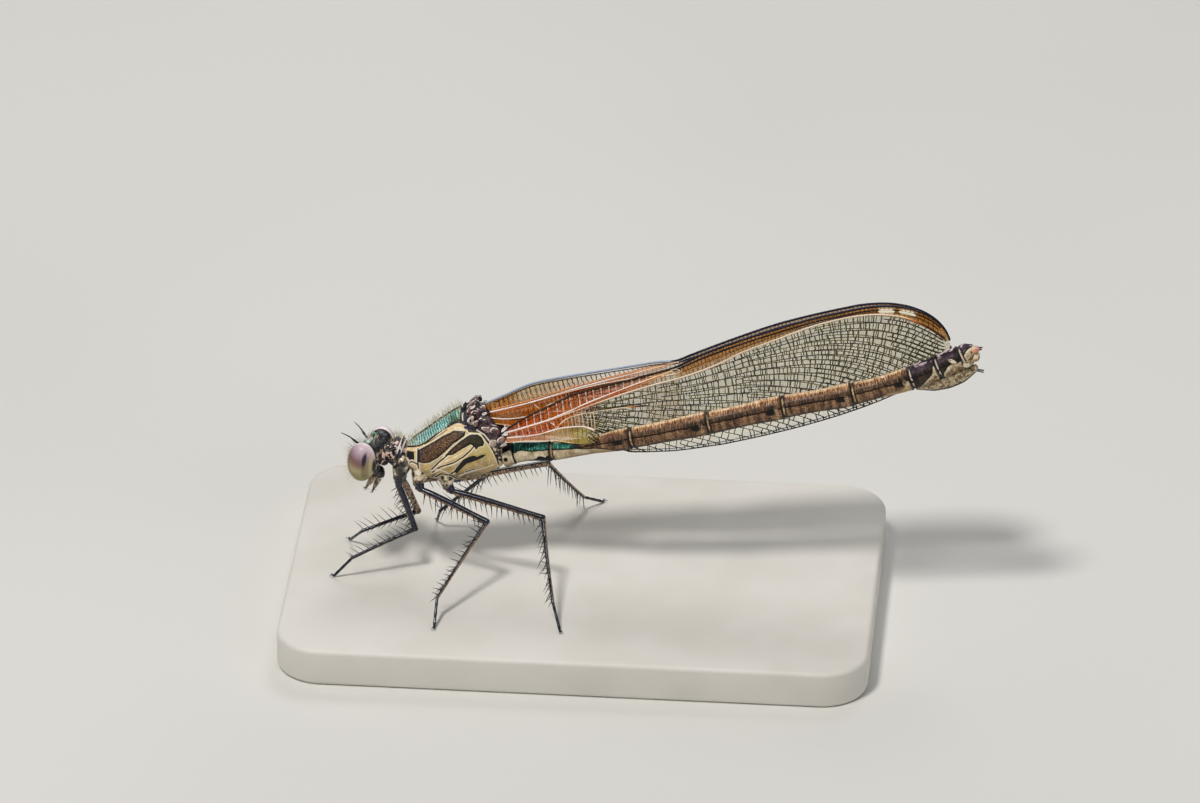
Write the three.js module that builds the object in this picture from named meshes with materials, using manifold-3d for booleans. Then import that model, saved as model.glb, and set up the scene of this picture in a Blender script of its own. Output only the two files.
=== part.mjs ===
// A damselfly at rest with its wings closed over its back, life size, on a plain flat base.
// Millimetres, +Z up, head towards -X, the insect's left side towards -Y.
// The origin is the centre of the base's underside.

import * as THREE from 'three';
import { mergeVertices } from 'three/addons/utils/BufferGeometryUtils.js';
import Module from 'manifold-3d';

const wasm = await Module();
wasm.setup();

const degrees = THREE.MathUtils.degToRad;
const mix = THREE.MathUtils.lerp;
const ease = THREE.MathUtils.smoothstep;
const vector = (x, y, z) => new THREE.Vector3(x, y, z);

// Gap between neighbouring pieces, and the room cut round a piece, which allows for its flat facets
const GAP = 0.3;
const ROOM = GAP + 0.05;

// Wing membrane's thickness, and a main vein's height over each face and share of the wing's width
const MEMBRANE = 0.3;
const VEIN = { height: 0.06, halfWidth: 0.04, rise: 3 };

// Base plate
const BASE = { length: 38, width: 24, height: 2.5, corner: 3, chamfer: 0.3 };
const FOOT_LEVEL = BASE.height + GAP;

// The body's own frame: this high above the base's underside, its back leaning away from -Y
const BODY_HEIGHT = 8.8;
const BODY_ROLL = degrees(18);

// Head: its centre in the body's frame, and its turn and counter-roll
const HEAD = { x: -13.78, y: -0.22, z: 1.49, turn: degrees(-18.6), unroll: degrees(11) };
const SKULL = { depth: 0.8, halfWidth: 1.16, height: 1.0 };
const FACE = { x: -0.52, z: -0.55, depth: 0.62, halfWidth: 0.8, height: 0.62 };
const LABRUM = { x: -0.6, z: -1.0, depth: 0.5, halfWidth: 0.6, height: 0.4 };
const EYE = { offset: 1.54, depth: 0.88, halfWidth: 0.84, height: 1.27, lean: degrees(4) };
const PALP = { x: 0.1, y: 0.34, z: -1.7, depth: 0.34, halfWidth: 0.27, height: 0.68, lean: degrees(-24) };
const JAW = { x: 0.3, z: -1.25, depth: 0.62, halfWidth: 0.62, height: 0.5 };
const ANTENNA = {
  root: vector(-0.45, 0.5, 0.62),
  bend: vector(-0.95, 0.72, 1.15),
  tip: vector(-1.72, 1.0, 1.75),
  radii: [0.3, 0.25, 0.09],
};

// Thorax stations along x: underside, back, half width, and how far the back narrows
const PROTHORAX = [
  [-12.95, 1.15, 1.85, 0.36, 0],
  [-12.65, 0.75, 2.05, 0.62, 0],
  [-12.2, 0.42, 2.4, 0.84, 0.1],
  [-11.85, 0.4, 2.55, 0.9, 0.15],
  [-11.6, 0.45, 2.3, 0.86, 0.15],
];
const THORAX = [
  [-11.3, 0.42, 2.3, 0.98, 0.2],
  [-10.4, 0.0, 3.05, 1.22, 0.28],
  [-9.4, -0.12, 3.84, 1.36, 0.32],
  [-8.4, -0.14, 4.52, 1.42, 0.34],
  [-7.4, 0.05, 5.02, 1.4, 0.34],
  [-6.5, 0.34, 4.95, 1.32, 0.3],
  [-5.9, 0.6, 4.15, 1.18, 0.2],
  [-5.45, 0.85, 3.05, 0.98, 0.1],
];
// The plates that carry the wings, on both sides: place and radii
const WING_PLATES = [
  { centre: [-6.95, 0.62, 4.45], radii: [0.8, 0.55, 0.72] },
  { centre: [-5.75, 0.95, 3.2], radii: [0.68, 0.55, 0.66] },
];

// Abdomen: for each segment its length, rise, swing towards -Y and radius at its two ends and middle
const ABDOMEN_START = vector(-5.25, 0, 1.57);
const ABDOMEN = [
  { length: 0.75, rise: 16.6, swing: 6.4, radii: [0.76, 0.74, 0.68] },
  { length: 2.48, rise: 7.7, swing: 9.8, radii: [0.66, 0.6, 0.62] },
  { length: 5.36, rise: 13.7, swing: 9.4, radii: [0.6, 0.55, 0.7] },
  { length: 5.09, rise: 14.1, swing: 1.7, radii: [0.68, 0.7, 0.76] },
  { length: 4.94, rise: 14.8, swing: 0, radii: [0.74, 0.72, 0.77] },
  { length: 4.58, rise: 13.3, swing: 0, radii: [0.74, 0.7, 0.76] },
  { length: 3.87, rise: 18.2, swing: 0, radii: [0.72, 0.68, 0.76] },
  { length: 1.85, rise: 23.2, swing: 0, radii: [0.76, 0.78, 0.8] },
  { length: 1.7, rise: 27.5, swing: 0, radii: [0.8, 0.8, 0.76] },
  { length: 0.92, rise: 27.7, swing: 0, radii: [0.74, 0.76, 0.64] },
];
const CERCUS = { length: 0.75, radius: 0.27, tip: 0.1, spread: 0.42, height: 0.22, fan: degrees(8) };
const CERCUS_RISE = degrees(24);
const OVIPOSITOR = { places: [[21.9, 7.45], [23.6, 8.0], [25.05, 8.78]], radii: [0.28, 0.34, 0.26] };
const STYLUS = { length: 0.6, radii: [0.25, 0.2, 0.1], sunk: 0.15, spread: 0.26, fan: 0.15 };
const STYLUS_RISE = degrees(-6);

// Wings: root and angle in the body's xz plane, and edges as distance along the wing and offset across
const FOREWING = {
  root: [-6.35, 4.4], angle: degrees(10.9), length: 30.1, tipOffset: -0.1,
  lead: [[0, 0.7], [3, 1.5], [7.5, 1.56], [12.4, 1.42], [16.6, 2.3], [21.7, 3.06], [24.5, 3.25]],
  trail: [[0, -0.62], [4, -1.8], [8, -2.75], [11, -3.15], [14, -3.3]],
};
const HINDWING = {
  root: [-5.05, 2.95], angle: degrees(14), length: 29.2, tipOffset: 0.1,
  lead: [[0, 0.5], [2.8, 1.37], [5, 1.82], [11.3, 2.13], [15.9, 3.0], [20, 3.42], [23.5, 3.55]],
  trail: [[0, -0.3], [3, -1.3], [6.5, -2.38], [9.6, -3.1], [13.5, -3.42]],
};
// The left hind wing's edge is lifted over the abdomen before it drops behind it
const LIFTED_TRAIL = [
  [0, -0.3], [2.5, -0.4], [5.2, -0.5], [6.8, -1.1], [9, -2.75], [11, -3.3], [13.5, -3.42],
];
// Sideways places of the four sheets, at the root and where they lie flat, and where that swing ends
const SHEETS = {
  wing_hind_left: { form: { ...HINDWING, trail: LIFTED_TRAIL }, rootSide: -1.42, flatSide: 0.3 },
  wing_fore_left: { form: FOREWING, rootSide: -0.5, flatSide: 1.04 },
  wing_fore_right: { form: FOREWING, rootSide: 0.5, flatSide: 1.78 },
  wing_hind_right: { form: HINDWING, rootSide: 1.42, flatSide: 2.52 },
};
const SWING_START = -6.4;
const SWING_END = 4.6;
// Power of the tip's round outline, and the share of the length where that is cut off
const TIP_ROUNDNESS = 2.3;
const TIP_CUT = 0.998;
const WING_STATIONS = 20;
// Main veins behind the leading edge: their share of the wing's width, at its root and at its tip
const MAIN_VEINS = [[0.22, 0.09], [0.42, 0.32], [0.6, 0.56], [0.8, 0.8]];

// Legs: hip, knee, ankle and foot in the part's frame, and where the coxa grows from the body
const LEGS = {
  front_left: {
    coxa: [-11.75, -0.3, 10.0], hip: [-12.05, -0.85, 8.75],
    knee: [-10.88, -1.27, 5.52], ankle: [-14.85, -2.55, 3.9], foot: [-16.02, -2.71],
  },
  front_right: {
    coxa: [-11.75, 0.75, 9.6], hip: [-11.95, 0.75, 8.2],
    knee: [-11.04, 2.03, 4.92], ankle: [-14.6, 1.06, 3.8], foot: [-15.49, 1.9],
  },
  middle_left: {
    coxa: [-10.55, -0.25, 9.5], hip: [-10.75, -0.95, 8.45],
    knee: [-6.08, -2.46, 7.0], ankle: [-8.87, -7.06, 3.91], foot: [-8.92, -8.57],
  },
  middle_right: {
    coxa: [-10.55, 0.8, 9.1], hip: [-10.75, 1.0, 7.85],
    knee: [-5.96, 3.05, 7.88], ankle: [-9.8, 3.9, 3.9], foot: [-10.1, 4.8],
  },
  hind_left: {
    coxa: [-8.95, -0.3, 9.3], hip: [-8.75, -1.0, 8.4],
    knee: [-2.51, -2.0, 7.21], ankle: [-1.41, -7.02, 3.91], foot: [-0.84, -8.35],
  },
  hind_right: {
    coxa: [-8.95, 0.7, 9.0], hip: [-8.45, 0.5, 8.3],
    knee: [-2.7, 3.59, 8.04], ankle: [-0.67, 7.08, 3.53], foot: [0.48, 8.17],
  },
};
const LEG = {
  coxa: 0.55, trochanter: 0.32, femur: 0.28, knee: 0.31, tibia: 0.25, ankle: 0.26, tarsus: 0.25, sole: 0.12,
};
const CLAW = { length: 0.62, radii: [0.2, 0.2, 0.1], spread: 0.45, sunk: 0.12 };
// Bristles: two rows on the bent side of femur and tibia, forked apart and leaning to the foot
const BRISTLE = { radius: 0.19, fork: degrees(42), lean: degrees(32) };
const FEMUR_BRISTLES = { from: 0.31, to: 0.75, count: 3, length: 0.95 };
const TIBIA_BRISTLES = { from: 0.26, to: 0.94, count: 5, length: 1.1 };

// Finishes
const finish = (color, roughness = 0.5, metalness = 0) => ({ color, roughness, metalness });
const FINISHES = {
  base: finish('#e9e6df', 0.6),
  head: finish('#1d2423', 0.45, 0.2),
  eye: finish('#a39a7c', 0.2),
  black: finish('#15171c', 0.4),
  mouth: finish('#6b5a45', 0.5),
  thorax: finish('#2e7d72', 0.35, 0.5),
  wing: finish('#8f7a2c', 0.35),
  abdomen: finish('#6b4a33', 0.35, 0.4),
  tail: finish('#d98b63', 0.5),
  leg: finish('#1b2233', 0.4),
};

// Smooth curve through a table's rows, read at any value of its first column
function table(rows) {
  const columns = rows[0].length - 1;
  const values = rows.flatMap((row) => row.slice(1));
  const curve = new THREE.CubicInterpolant(rows.map((row) => row[0]), values, columns);
  return (at) => [...curve.evaluate(at)];
}

// A closed tube of the given sides and steps: place(t, across, up) puts each point of a unit
// circle at t from 0 to 1; both caps have their middle at across = up = 0
function tube(sides, steps, place) {
  const geometry = new THREE.CylinderGeometry(1, 1, 1, sides, steps);
  const points = geometry.attributes.position;
  for (let i = 0; i < points.count; i++) {
    const spot = place(points.getY(i) + 0.5, -points.getX(i), points.getZ(i));
    points.setXYZ(i, spot.x, spot.y, spot.z);
  }
  return geometry;
}

// A round limb along smooth points, its radius changing from point to point, its ends domed
function limb(points, radii, { sides = 7, steps = 4, domes = [0, 0] } = {}) {
  const curve = new THREE.CatmullRomCurve3(points, false, 'centripetal');
  const radiusAt = table(radii.map((radius, i) => [i / (radii.length - 1), radius]));
  const frames = curve.computeFrenetFrames(steps, false);
  const [startDome, endDome] = domes;
  return tube(sides, steps, (t, across, up) => {
    const i = Math.round(t * steps);
    const end = i === 0 ? startDome : i === steps ? endDome : 0;
    const radius = radiusAt(t)[0] * (end > 0 ? 0.55 : 1);
    const spot = curve.getPointAt(t);
    return spot
      .addScaledVector(frames.tangents[i], (i === 0 ? -1 : 1) * end)
      .addScaledVector(frames.normals[i], across * radius)
      .addScaledVector(frames.binormals[i], up * radius);
  });
}

// An ellipsoid, leaning about Y
function ellipsoid([x, y, z], [rx, ry, rz], { lean = 0, around = 12, down = 8 } = {}) {
  const geometry = new THREE.SphereGeometry(1, around, down).rotateX(Math.PI / 2);
  return geometry.scale(rx, ry, rz).rotateY(lean).translate(x, y, z);
}

// Geometry as a solid, and back again with only the largest closed surface kept
function solidOf(geometry) {
  const bare = geometry.clone().deleteAttribute('normal').deleteAttribute('uv');
  const merged = mergeVertices(bare, 1e-5);
  return new wasm.Manifold(new wasm.Mesh({
    numProp: 3,
    vertProperties: new Float32Array(merged.attributes.position.array),
    triVerts: new Uint32Array(merged.index.array),
  }));
}
const union = (geometries) => geometries.map(solidOf).reduce((whole, piece) => whole.add(piece));
function geometryOf(solid) {
  const largest = solid.decompose().reduce((a, b) => (b.volume() > a.volume() ? b : a));
  const { vertProperties, triVerts } = largest.getMesh();
  const geometry = new THREE.BufferGeometry();
  geometry.setAttribute('position', new THREE.BufferAttribute(new Float32Array(vertProperties), 3));
  geometry.setIndex(new THREE.BufferAttribute(new Uint32Array(triVerts), 1));
  return geometry;
}

const model = new THREE.Group();
const body = new THREE.Group();
body.position.z = BODY_HEIGHT;
body.rotation.x = -BODY_ROLL;
body.updateMatrix();
const head = new THREE.Group();
head.position.set(HEAD.x, HEAD.y, HEAD.z);
head.rotation.set(HEAD.unroll, 0, HEAD.turn);
head.updateMatrix();
body.add(head);
model.add(body);

function addPiece(group, name, geometry, look) {
  const mesh = new THREE.Mesh(geometry, new THREE.MeshStandardMaterial(FINISHES[look]));
  mesh.name = name;
  group.add(mesh);
}

// Base: a rounded plate with a small chamfer
function baseGeometry() {
  const { length, width, height, corner, chamfer } = BASE;
  const [a, b] = [length / 2 - chamfer, width / 2 - chamfer];
  const shape = new THREE.Shape();
  shape.moveTo(-a + corner, -b);
  shape.lineTo(a - corner, -b).absarc(a - corner, -b + corner, corner, -Math.PI / 2, 0, false);
  shape.lineTo(a, b - corner).absarc(a - corner, b - corner, corner, 0, Math.PI / 2, false);
  shape.lineTo(-a + corner, b).absarc(-a + corner, b - corner, corner, Math.PI / 2, Math.PI, false);
  shape.lineTo(-a, -b + corner).absarc(-a + corner, -b + corner, corner, Math.PI, 1.5 * Math.PI, false);
  const bevel = { bevelEnabled: true, bevelThickness: chamfer, bevelSize: chamfer, bevelSegments: 1 };
  const depth = height - 2 * chamfer;
  const plate = new THREE.ExtrudeGeometry(shape, { depth, curveSegments: 3, ...bevel });
  return plate.translate(0, 0, chamfer);
}
addPiece(model, 'stand_base', baseGeometry(), 'base');

// Head: skull, face and upper lip in one, hollowed where the eyes sit; swell makes it larger
function headSolid(swell = 0) {
  const lumps = [
    [[0, 0, 0], [SKULL.depth, SKULL.halfWidth, SKULL.height]],
    [[FACE.x, 0, FACE.z], [FACE.depth, FACE.halfWidth, FACE.height]],
    [[LABRUM.x, 0, LABRUM.z], [LABRUM.depth, LABRUM.halfWidth, LABRUM.height]],
  ];
  return union(lumps.map(([centre, radii]) => ellipsoid(centre, radii.map((radius) => radius + swell))));
}
function eyeSolid(side, swell = 0) {
  const radii = [EYE.depth, EYE.halfWidth, EYE.height].map((radius) => radius + swell);
  return solidOf(ellipsoid([0, side * EYE.offset, 0], radii, { lean: EYE.lean, around: 16, down: 12 }));
}
const sides = { left: -1, right: 1 };
let skull = headSolid();
for (const [name, side] of Object.entries(sides)) {
  skull = skull.subtract(eyeSolid(side, ROOM));
  addPiece(head, `eye_${name}`, geometryOf(eyeSolid(side)), 'eye');
}
addPiece(head, 'head', geometryOf(skull), 'head');

// Mouthparts: the jaws' block below and behind the face, with two drooping palps
function mouthSolid(swell = 0) {
  const jawRadii = [JAW.depth, JAW.halfWidth, JAW.height].map((radius) => radius + swell);
  const jaw = ellipsoid([JAW.x, 0, JAW.z], jawRadii);
  const palps = Object.values(sides).map((side) => ellipsoid(
    [PALP.x, side * PALP.y, PALP.z],
    [PALP.depth + swell, PALP.halfWidth + swell, PALP.height + swell],
    { lean: PALP.lean, around: 8, down: 6 },
  ));
  return union([jaw, ...palps]);
}
const skullRoom = headSolid(ROOM);
const eyeRoom = eyeSolid(-1, ROOM).add(eyeSolid(1, ROOM));
addPiece(head, 'mouthparts', geometryOf(mouthSolid().subtract(skullRoom).subtract(eyeRoom)), 'mouth');

// Antennae: a thick root joint, then a bristle that tapers to its tip
for (const [name, side] of Object.entries(sides)) {
  const points = [ANTENNA.root, ANTENNA.bend, ANTENNA.tip].map((p) => vector(p.x, side * p.y, p.z));
  const feeler = solidOf(limb(points, ANTENNA.radii, { sides: 6, steps: 6 }));
  addPiece(head, `antenna_${name}`, geometryOf(feeler.subtract(skullRoom).subtract(eyeRoom)), 'black');
}

// Thorax: egg-shaped sections between its underside and back; swell makes it larger all round
function chest(stations, swell = 0, { around = 16, steps = 10 } = {}) {
  const sectionAt = table(stations);
  const first = stations[0][0];
  const last = stations[stations.length - 1][0];
  return tube(around, steps, (t, across, up) => {
    const x = mix(first, last, t);
    const [underside, back, halfWidth, narrowing] = sectionAt(x);
    const middle = (underside + back) / 2;
    const half = (back - underside) / 2 + swell;
    const reach = t === 0 ? -swell : t === 1 ? swell : 0;
    return vector(x + reach, across * (halfWidth + swell) * (1 - narrowing * up), middle + up * half);
  });
}
function thoraxSolid(swell = 0) {
  const plates = [];
  for (const side of Object.values(sides)) {
    for (const { centre: [x, y, z], radii } of WING_PLATES) {
      const grown = radii.map((radius) => radius + swell);
      plates.push(ellipsoid([x, side * y, z], grown, { around: 10, down: 7 }));
    }
  }
  return union([chest(THORAX, swell), ...plates]);
}
const toHead = (solid) => solid.transform(head.matrix.toArray());
const prothoraxSolid = (swell = 0) => solidOf(chest(PROTHORAX, swell, { around: 14, steps: 6 }));
const headRoom = toHead(headSolid(ROOM).add(mouthSolid(ROOM)).add(eyeRoom));
const thoraxRoom = thoraxSolid(ROOM);
addPiece(body, 'thorax', geometryOf(thoraxSolid()), 'thorax');
addPiece(body, 'prothorax', geometryOf(prothoraxSolid().subtract(headRoom).subtract(thoraxRoom)), 'thorax');

// Abdomen: ten round segments end to end, half the gap left open on each side of a joint
const heading = (rise, swing) => vector(
  Math.cos(rise) * Math.cos(swing),
  -Math.cos(rise) * Math.sin(swing),
  Math.sin(rise),
);
const segments = [];
for (const { length, rise, swing, radii } of ABDOMEN) {
  const along = heading(degrees(rise), degrees(swing));
  const start = segments.length ? segments[segments.length - 1].end : ABDOMEN_START;
  segments.push({ start, end: start.clone().addScaledVector(along, length), radii });
}
function segmentSolid({ start, end, radii }, swell = -ROOM / 2) {
  const along = end.clone().sub(start).normalize();
  const points = [start.clone().addScaledVector(along, -swell), end.clone().addScaledVector(along, swell)];
  points.splice(1, 0, points[0].clone().lerp(points[1], 0.5));
  const grown = radii.map((radius) => radius + Math.max(swell, 0));
  return solidOf(limb(points, grown, { sides: 12, steps: 5 }));
}
segments.forEach((segment, i) => {
  const solid = segmentSolid(segment);
  addPiece(body, `abdomen_${i + 1}`, geometryOf(i === 0 ? solid.subtract(thoraxRoom) : solid), 'abdomen');
});

// Tail end: two cerci above, and the ovipositor's valves with their two styli below
const tailEnd = segments[segments.length - 1].end;
for (const [name, side] of Object.entries(sides)) {
  const along = heading(CERCUS_RISE, -side * CERCUS.fan);
  const root = tailEnd.clone().add(vector(0, side * CERCUS.spread, CERCUS.height));
  root.addScaledVector(along, GAP / 2);
  const tip = root.clone().addScaledVector(along, CERCUS.length);
  const radii = [CERCUS.radius, CERCUS.radius * 0.9, CERCUS.tip];
  const hook = limb([root, root.clone().lerp(tip, 0.45), tip], radii, { sides: 8 });
  addPiece(body, `cercus_${name}`, hook, 'tail');
}
function ovipositorSolid() {
  const points = OVIPOSITOR.places.map(([x, z]) => vector(x, tailEnd.y, z));
  const blade = limb(points, OVIPOSITOR.radii, { sides: 8, steps: 5, domes: [0.1, 0.1] });
  const styli = Object.values(sides).map((side) => {
    const root = points[2].clone().add(vector(-STYLUS.sunk, side * STYLUS.spread, 0));
    const tip = root.clone().addScaledVector(heading(STYLUS_RISE, -side * STYLUS.fan), STYLUS.length);
    return limb([root, root.clone().lerp(tip, 0.5), tip], STYLUS.radii, { sides: 5, steps: 2 });
  });
  return union([blade, ...styli]);
}
const tailRoom = segments.slice(6).map((segment) => segmentSolid(segment, ROOM)).reduce((a, b) => a.add(b));
addPiece(body, 'ovipositor', geometryOf(ovipositorSolid().subtract(tailRoom)), 'tail');

// Wings: a thin sheet between its two edge curves, rounded at the tip, its main veins raised
function wingEdge(form, edge) {
  const rows = form[edge];
  const roundFrom = rows[rows.length - 1][0];
  const offsetAt = table(rows);
  return (along) => {
    if (along <= roundFrom) return offsetAt(along)[0];
    const part = (along - roundFrom) / (form.length - roundFrom);
    const share = Math.sqrt(1 - part ** TIP_ROUNDNESS);
    return mix(form.tipOffset, offsetAt(roundFrom)[0], share);
  };
}
// The grid's rows at a station: each vein is a crest between two feet, and the leading edge is a crest
function wingRows(share) {
  const rows = [[0, 1], [VEIN.halfWidth, 0]];
  for (const [atRoot, atTip] of MAIN_VEINS) {
    const crest = mix(atRoot, atTip, share);
    rows.push([crest - VEIN.halfWidth, 0], [crest, 1], [crest + VEIN.halfWidth, 0]);
  }
  rows.push([1, 0]);
  return rows;
}
function wingGeometry({ form, rootSide, flatSide }) {
  const lead = wingEdge(form, 'lead');
  const trail = wingEdge(form, 'trail');
  const [cos, sin] = [Math.cos(form.angle), Math.sin(form.angle)];
  const positions = [];
  for (const face of [-1, 1]) {
    for (let i = 0; i <= WING_STATIONS; i++) {
      const along = TIP_CUT * form.length * Math.sin((i / WING_STATIONS) * Math.PI / 2);
      const crestHeight = VEIN.height * ease(along, 0, VEIN.rise);
      for (const [row, crest] of wingRows(along / form.length)) {
        const across = mix(lead(along), trail(along), row);
        const x = form.root[0] + along * cos - across * sin;
        const side = mix(rootSide, flatSide, ease(x, SWING_START, SWING_END));
        const half = MEMBRANE / 2 + crest * crestHeight;
        positions.push(x, side + face * half, form.root[1] + along * sin + across * cos);
      }
    }
  }
  return closedSheet(positions, WING_STATIONS, wingRows(0).length - 1);
}
// Joins two faces of one grid, triangulated alike, and the rim between them
function closedSheet(positions, stations, rows) {
  const size = (stations + 1) * (rows + 1);
  const at = (face, i, j) => face * size + i * (rows + 1) + j;
  const index = [];
  const quad = (a, b, c, d) => index.push(a, b, c, a, c, d);
  for (let i = 0; i < stations; i++) {
    for (let j = 0; j < rows; j++) {
      quad(at(0, i, j), at(0, i, j + 1), at(0, i + 1, j + 1), at(0, i + 1, j));
      index.push(at(1, i, j), at(1, i + 1, j + 1), at(1, i, j + 1));
      index.push(at(1, i, j), at(1, i + 1, j), at(1, i + 1, j + 1));
    }
    quad(at(0, i, 0), at(0, i + 1, 0), at(1, i + 1, 0), at(1, i, 0));
    quad(at(0, i, rows), at(1, i, rows), at(1, i + 1, rows), at(0, i + 1, rows));
  }
  for (let j = 0; j < rows; j++) {
    quad(at(0, 0, j), at(1, 0, j), at(1, 0, j + 1), at(0, 0, j + 1));
    quad(at(0, stations, j), at(0, stations, j + 1), at(1, stations, j + 1), at(1, stations, j));
  }
  const geometry = new THREE.BufferGeometry();
  geometry.setAttribute('position', new THREE.Float32BufferAttribute(positions, 3));
  geometry.setIndex(index);
  return geometry;
}
for (const [name, sheet] of Object.entries(SHEETS)) {
  addPiece(body, name, geometryOf(solidOf(wingGeometry(sheet)).subtract(thoraxRoom)), 'wing');
}

// Legs: coxa, trochanter and femur in one, then the tibia, then the tarsus with its claws
const toWorld = (solid) => solid.transform(body.matrix.toArray());
const bodyRoom = toWorld(thoraxRoom.add(prothoraxSolid(ROOM)));
const underFeet = solidOf(new THREE.BoxGeometry(60, 60, 4).translate(0, 0, FOOT_LEVEL - 2));
const ball = (centre, radius) => new THREE.SphereGeometry(radius, 7, 5).translate(...centre);

// Two rows of bristles between two points of a limb, on the side that bend points to
function bristleRows(start, end, bend, { from, to, count, length }) {
  const along = end.clone().sub(start).normalize();
  const inward = bend.clone().addScaledVector(along, -bend.dot(along)).normalize();
  const thorns = [];
  for (let i = 0; i < count; i++) {
    const root = start.clone().lerp(end, mix(from, to, i / (count - 1)));
    for (const side of [-1, 1]) {
      const out = inward.clone().applyAxisAngle(along, side * BRISTLE.fork);
      const direction = out.multiplyScalar(Math.cos(BRISTLE.lean));
      direction.addScaledVector(along, Math.sin(BRISTLE.lean));
      const turn = new THREE.Quaternion().setFromUnitVectors(vector(0, 1, 0), direction);
      const thorn = new THREE.ConeGeometry(BRISTLE.radius, length, 4).translate(0, length / 2, 0);
      thorns.push(thorn.applyQuaternion(turn).translate(...root));
    }
  }
  return thorns;
}
const between = (a, b, distance) => a.clone().addScaledVector(b.clone().sub(a).normalize(), distance);
function addLeg(name, places) {
  const [coxa, hip, knee, ankle] = ['coxa', 'hip', 'knee', 'ankle'].map((key) => vector(...places[key]));
  const foot = vector(...places.foot, FOOT_LEVEL + LEG.sole);

  const thigh = (swell) => [
    limb([between(hip, coxa, 0.2), hip.clone().lerp(knee, 0.5), knee],
      [LEG.trochanter, LEG.femur, LEG.tibia].map((radius) => radius + swell), { steps: 2 }),
    ball(knee, LEG.knee + swell),
  ];
  const upper = union([
    limb([coxa, coxa.clone().lerp(hip, 0.55), hip], [LEG.coxa, LEG.coxa * 0.85, LEG.trochanter],
      { steps: 3, domes: [0, 0.1] }),
    ...thigh(0),
    ...bristleRows(hip, knee, ankle.clone().sub(knee), FEMUR_BRISTLES),
  ]);
  addPiece(model, `leg_${name}_femur`, geometryOf(upper.subtract(bodyRoom)), 'leg');

  const shin = (swell) => [
    limb([knee, knee.clone().lerp(ankle, 0.5), ankle], Array(3).fill(LEG.tibia + swell), { steps: 1 }),
    ball(ankle, LEG.ankle + swell),
  ];
  const shank = union([...shin(0), ...bristleRows(knee, ankle, hip.clone().sub(knee), TIBIA_BRISTLES)]);
  addPiece(model, `leg_${name}_tibia`, geometryOf(shank.subtract(union(thigh(ROOM)))), 'leg');

  const toe = foot.clone().sub(ankle).setZ(0).normalize();
  const claws = [-1, 1].map((side) => {
    const start = between(foot, foot.clone().sub(toe), CLAW.sunk);
    const out = toe.clone().applyAxisAngle(vector(0, 0, 1), side * CLAW.spread).multiplyScalar(CLAW.length);
    const points = [0, 0.5, 1].map((share) => start.clone().addScaledVector(out, share));
    return limb(points, CLAW.radii, { sides: 5, steps: 2 });
  });
  const soleRadii = [LEG.tarsus, LEG.tarsus * 0.9, LEG.tarsus];
  const instep = ankle.clone().lerp(foot, 0.5);
  const sole = limb([ankle, instep, foot], soleRadii, { steps: 2, domes: [0, 0.08] });
  const paw = union([sole, ...claws]).subtract(underFeet).subtract(union(shin(ROOM)));
  addPiece(model, `leg_${name}_tarsus`, geometryOf(paw), 'leg');
}
for (const [name, places] of Object.entries(LEGS)) addLeg(name, places);

export default model;
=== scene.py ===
# A damselfly at rest on a plain base: the finish of every surface, laid over its solids.
# Shapes are written in millimetres and stored in metres. The head points to -X, its left side to -Y.

from functools import partial

import bpy
import numpy as np
from bpy.props import FloatProperty, FloatVectorProperty, PointerProperty
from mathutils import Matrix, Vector


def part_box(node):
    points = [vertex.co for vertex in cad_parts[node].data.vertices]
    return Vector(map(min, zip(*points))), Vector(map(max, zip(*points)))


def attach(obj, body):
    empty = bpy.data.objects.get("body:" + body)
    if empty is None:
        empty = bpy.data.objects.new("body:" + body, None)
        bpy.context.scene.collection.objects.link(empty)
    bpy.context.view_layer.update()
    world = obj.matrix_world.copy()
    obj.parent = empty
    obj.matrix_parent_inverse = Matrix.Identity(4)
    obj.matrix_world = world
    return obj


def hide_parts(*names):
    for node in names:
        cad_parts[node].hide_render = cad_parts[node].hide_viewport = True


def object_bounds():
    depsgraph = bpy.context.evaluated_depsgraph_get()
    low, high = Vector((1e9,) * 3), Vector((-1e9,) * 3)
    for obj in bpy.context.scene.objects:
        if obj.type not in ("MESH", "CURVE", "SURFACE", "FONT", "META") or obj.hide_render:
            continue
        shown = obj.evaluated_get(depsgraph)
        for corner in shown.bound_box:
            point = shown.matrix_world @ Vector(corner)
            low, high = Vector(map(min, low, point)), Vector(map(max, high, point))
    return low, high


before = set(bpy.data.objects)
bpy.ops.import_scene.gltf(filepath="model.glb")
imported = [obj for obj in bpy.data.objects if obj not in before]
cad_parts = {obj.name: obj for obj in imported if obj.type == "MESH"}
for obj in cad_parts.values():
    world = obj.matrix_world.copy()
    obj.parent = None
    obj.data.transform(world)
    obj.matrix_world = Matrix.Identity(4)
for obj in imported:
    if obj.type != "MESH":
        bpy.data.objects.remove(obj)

bl_info = {
    "name": "Damselfly on a base",
    "version": (1, 0, 0),
    "blender": (4, 5, 0),
    "location": "3D View > Sidebar > Damselfly",
    "description": "Builds the skins, wings, veins and bristles of a resting damselfly",
    "category": "Object",
}

SOLID_BOX = [list(corner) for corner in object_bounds()]
MM = 0.001
SIDES = {"left": -1, "right": 1}


# Numbers and curves

def degrees(angle):
    """An angle that is given in degrees, in radians."""
    return np.radians(angle)


def mix(a, b, share):
    return a + (b - a) * share


def ease(value, low, high):
    """Rises smoothly from 0 at low to 1 at high: 3t squared minus 2t cubed."""
    t = np.clip((value - low) / (high - low), 0, 1)
    return t * t * (3 - 2 * t)


def hump(value, middle, width):
    """A bell: e to the minus square of the distance from the middle over the width."""
    return np.exp(-((value - middle) / width) ** 2)


def unit(vectors):
    return vectors / np.maximum(np.linalg.norm(vectors, axis=-1, keepdims=True), 1e-12)


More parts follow.
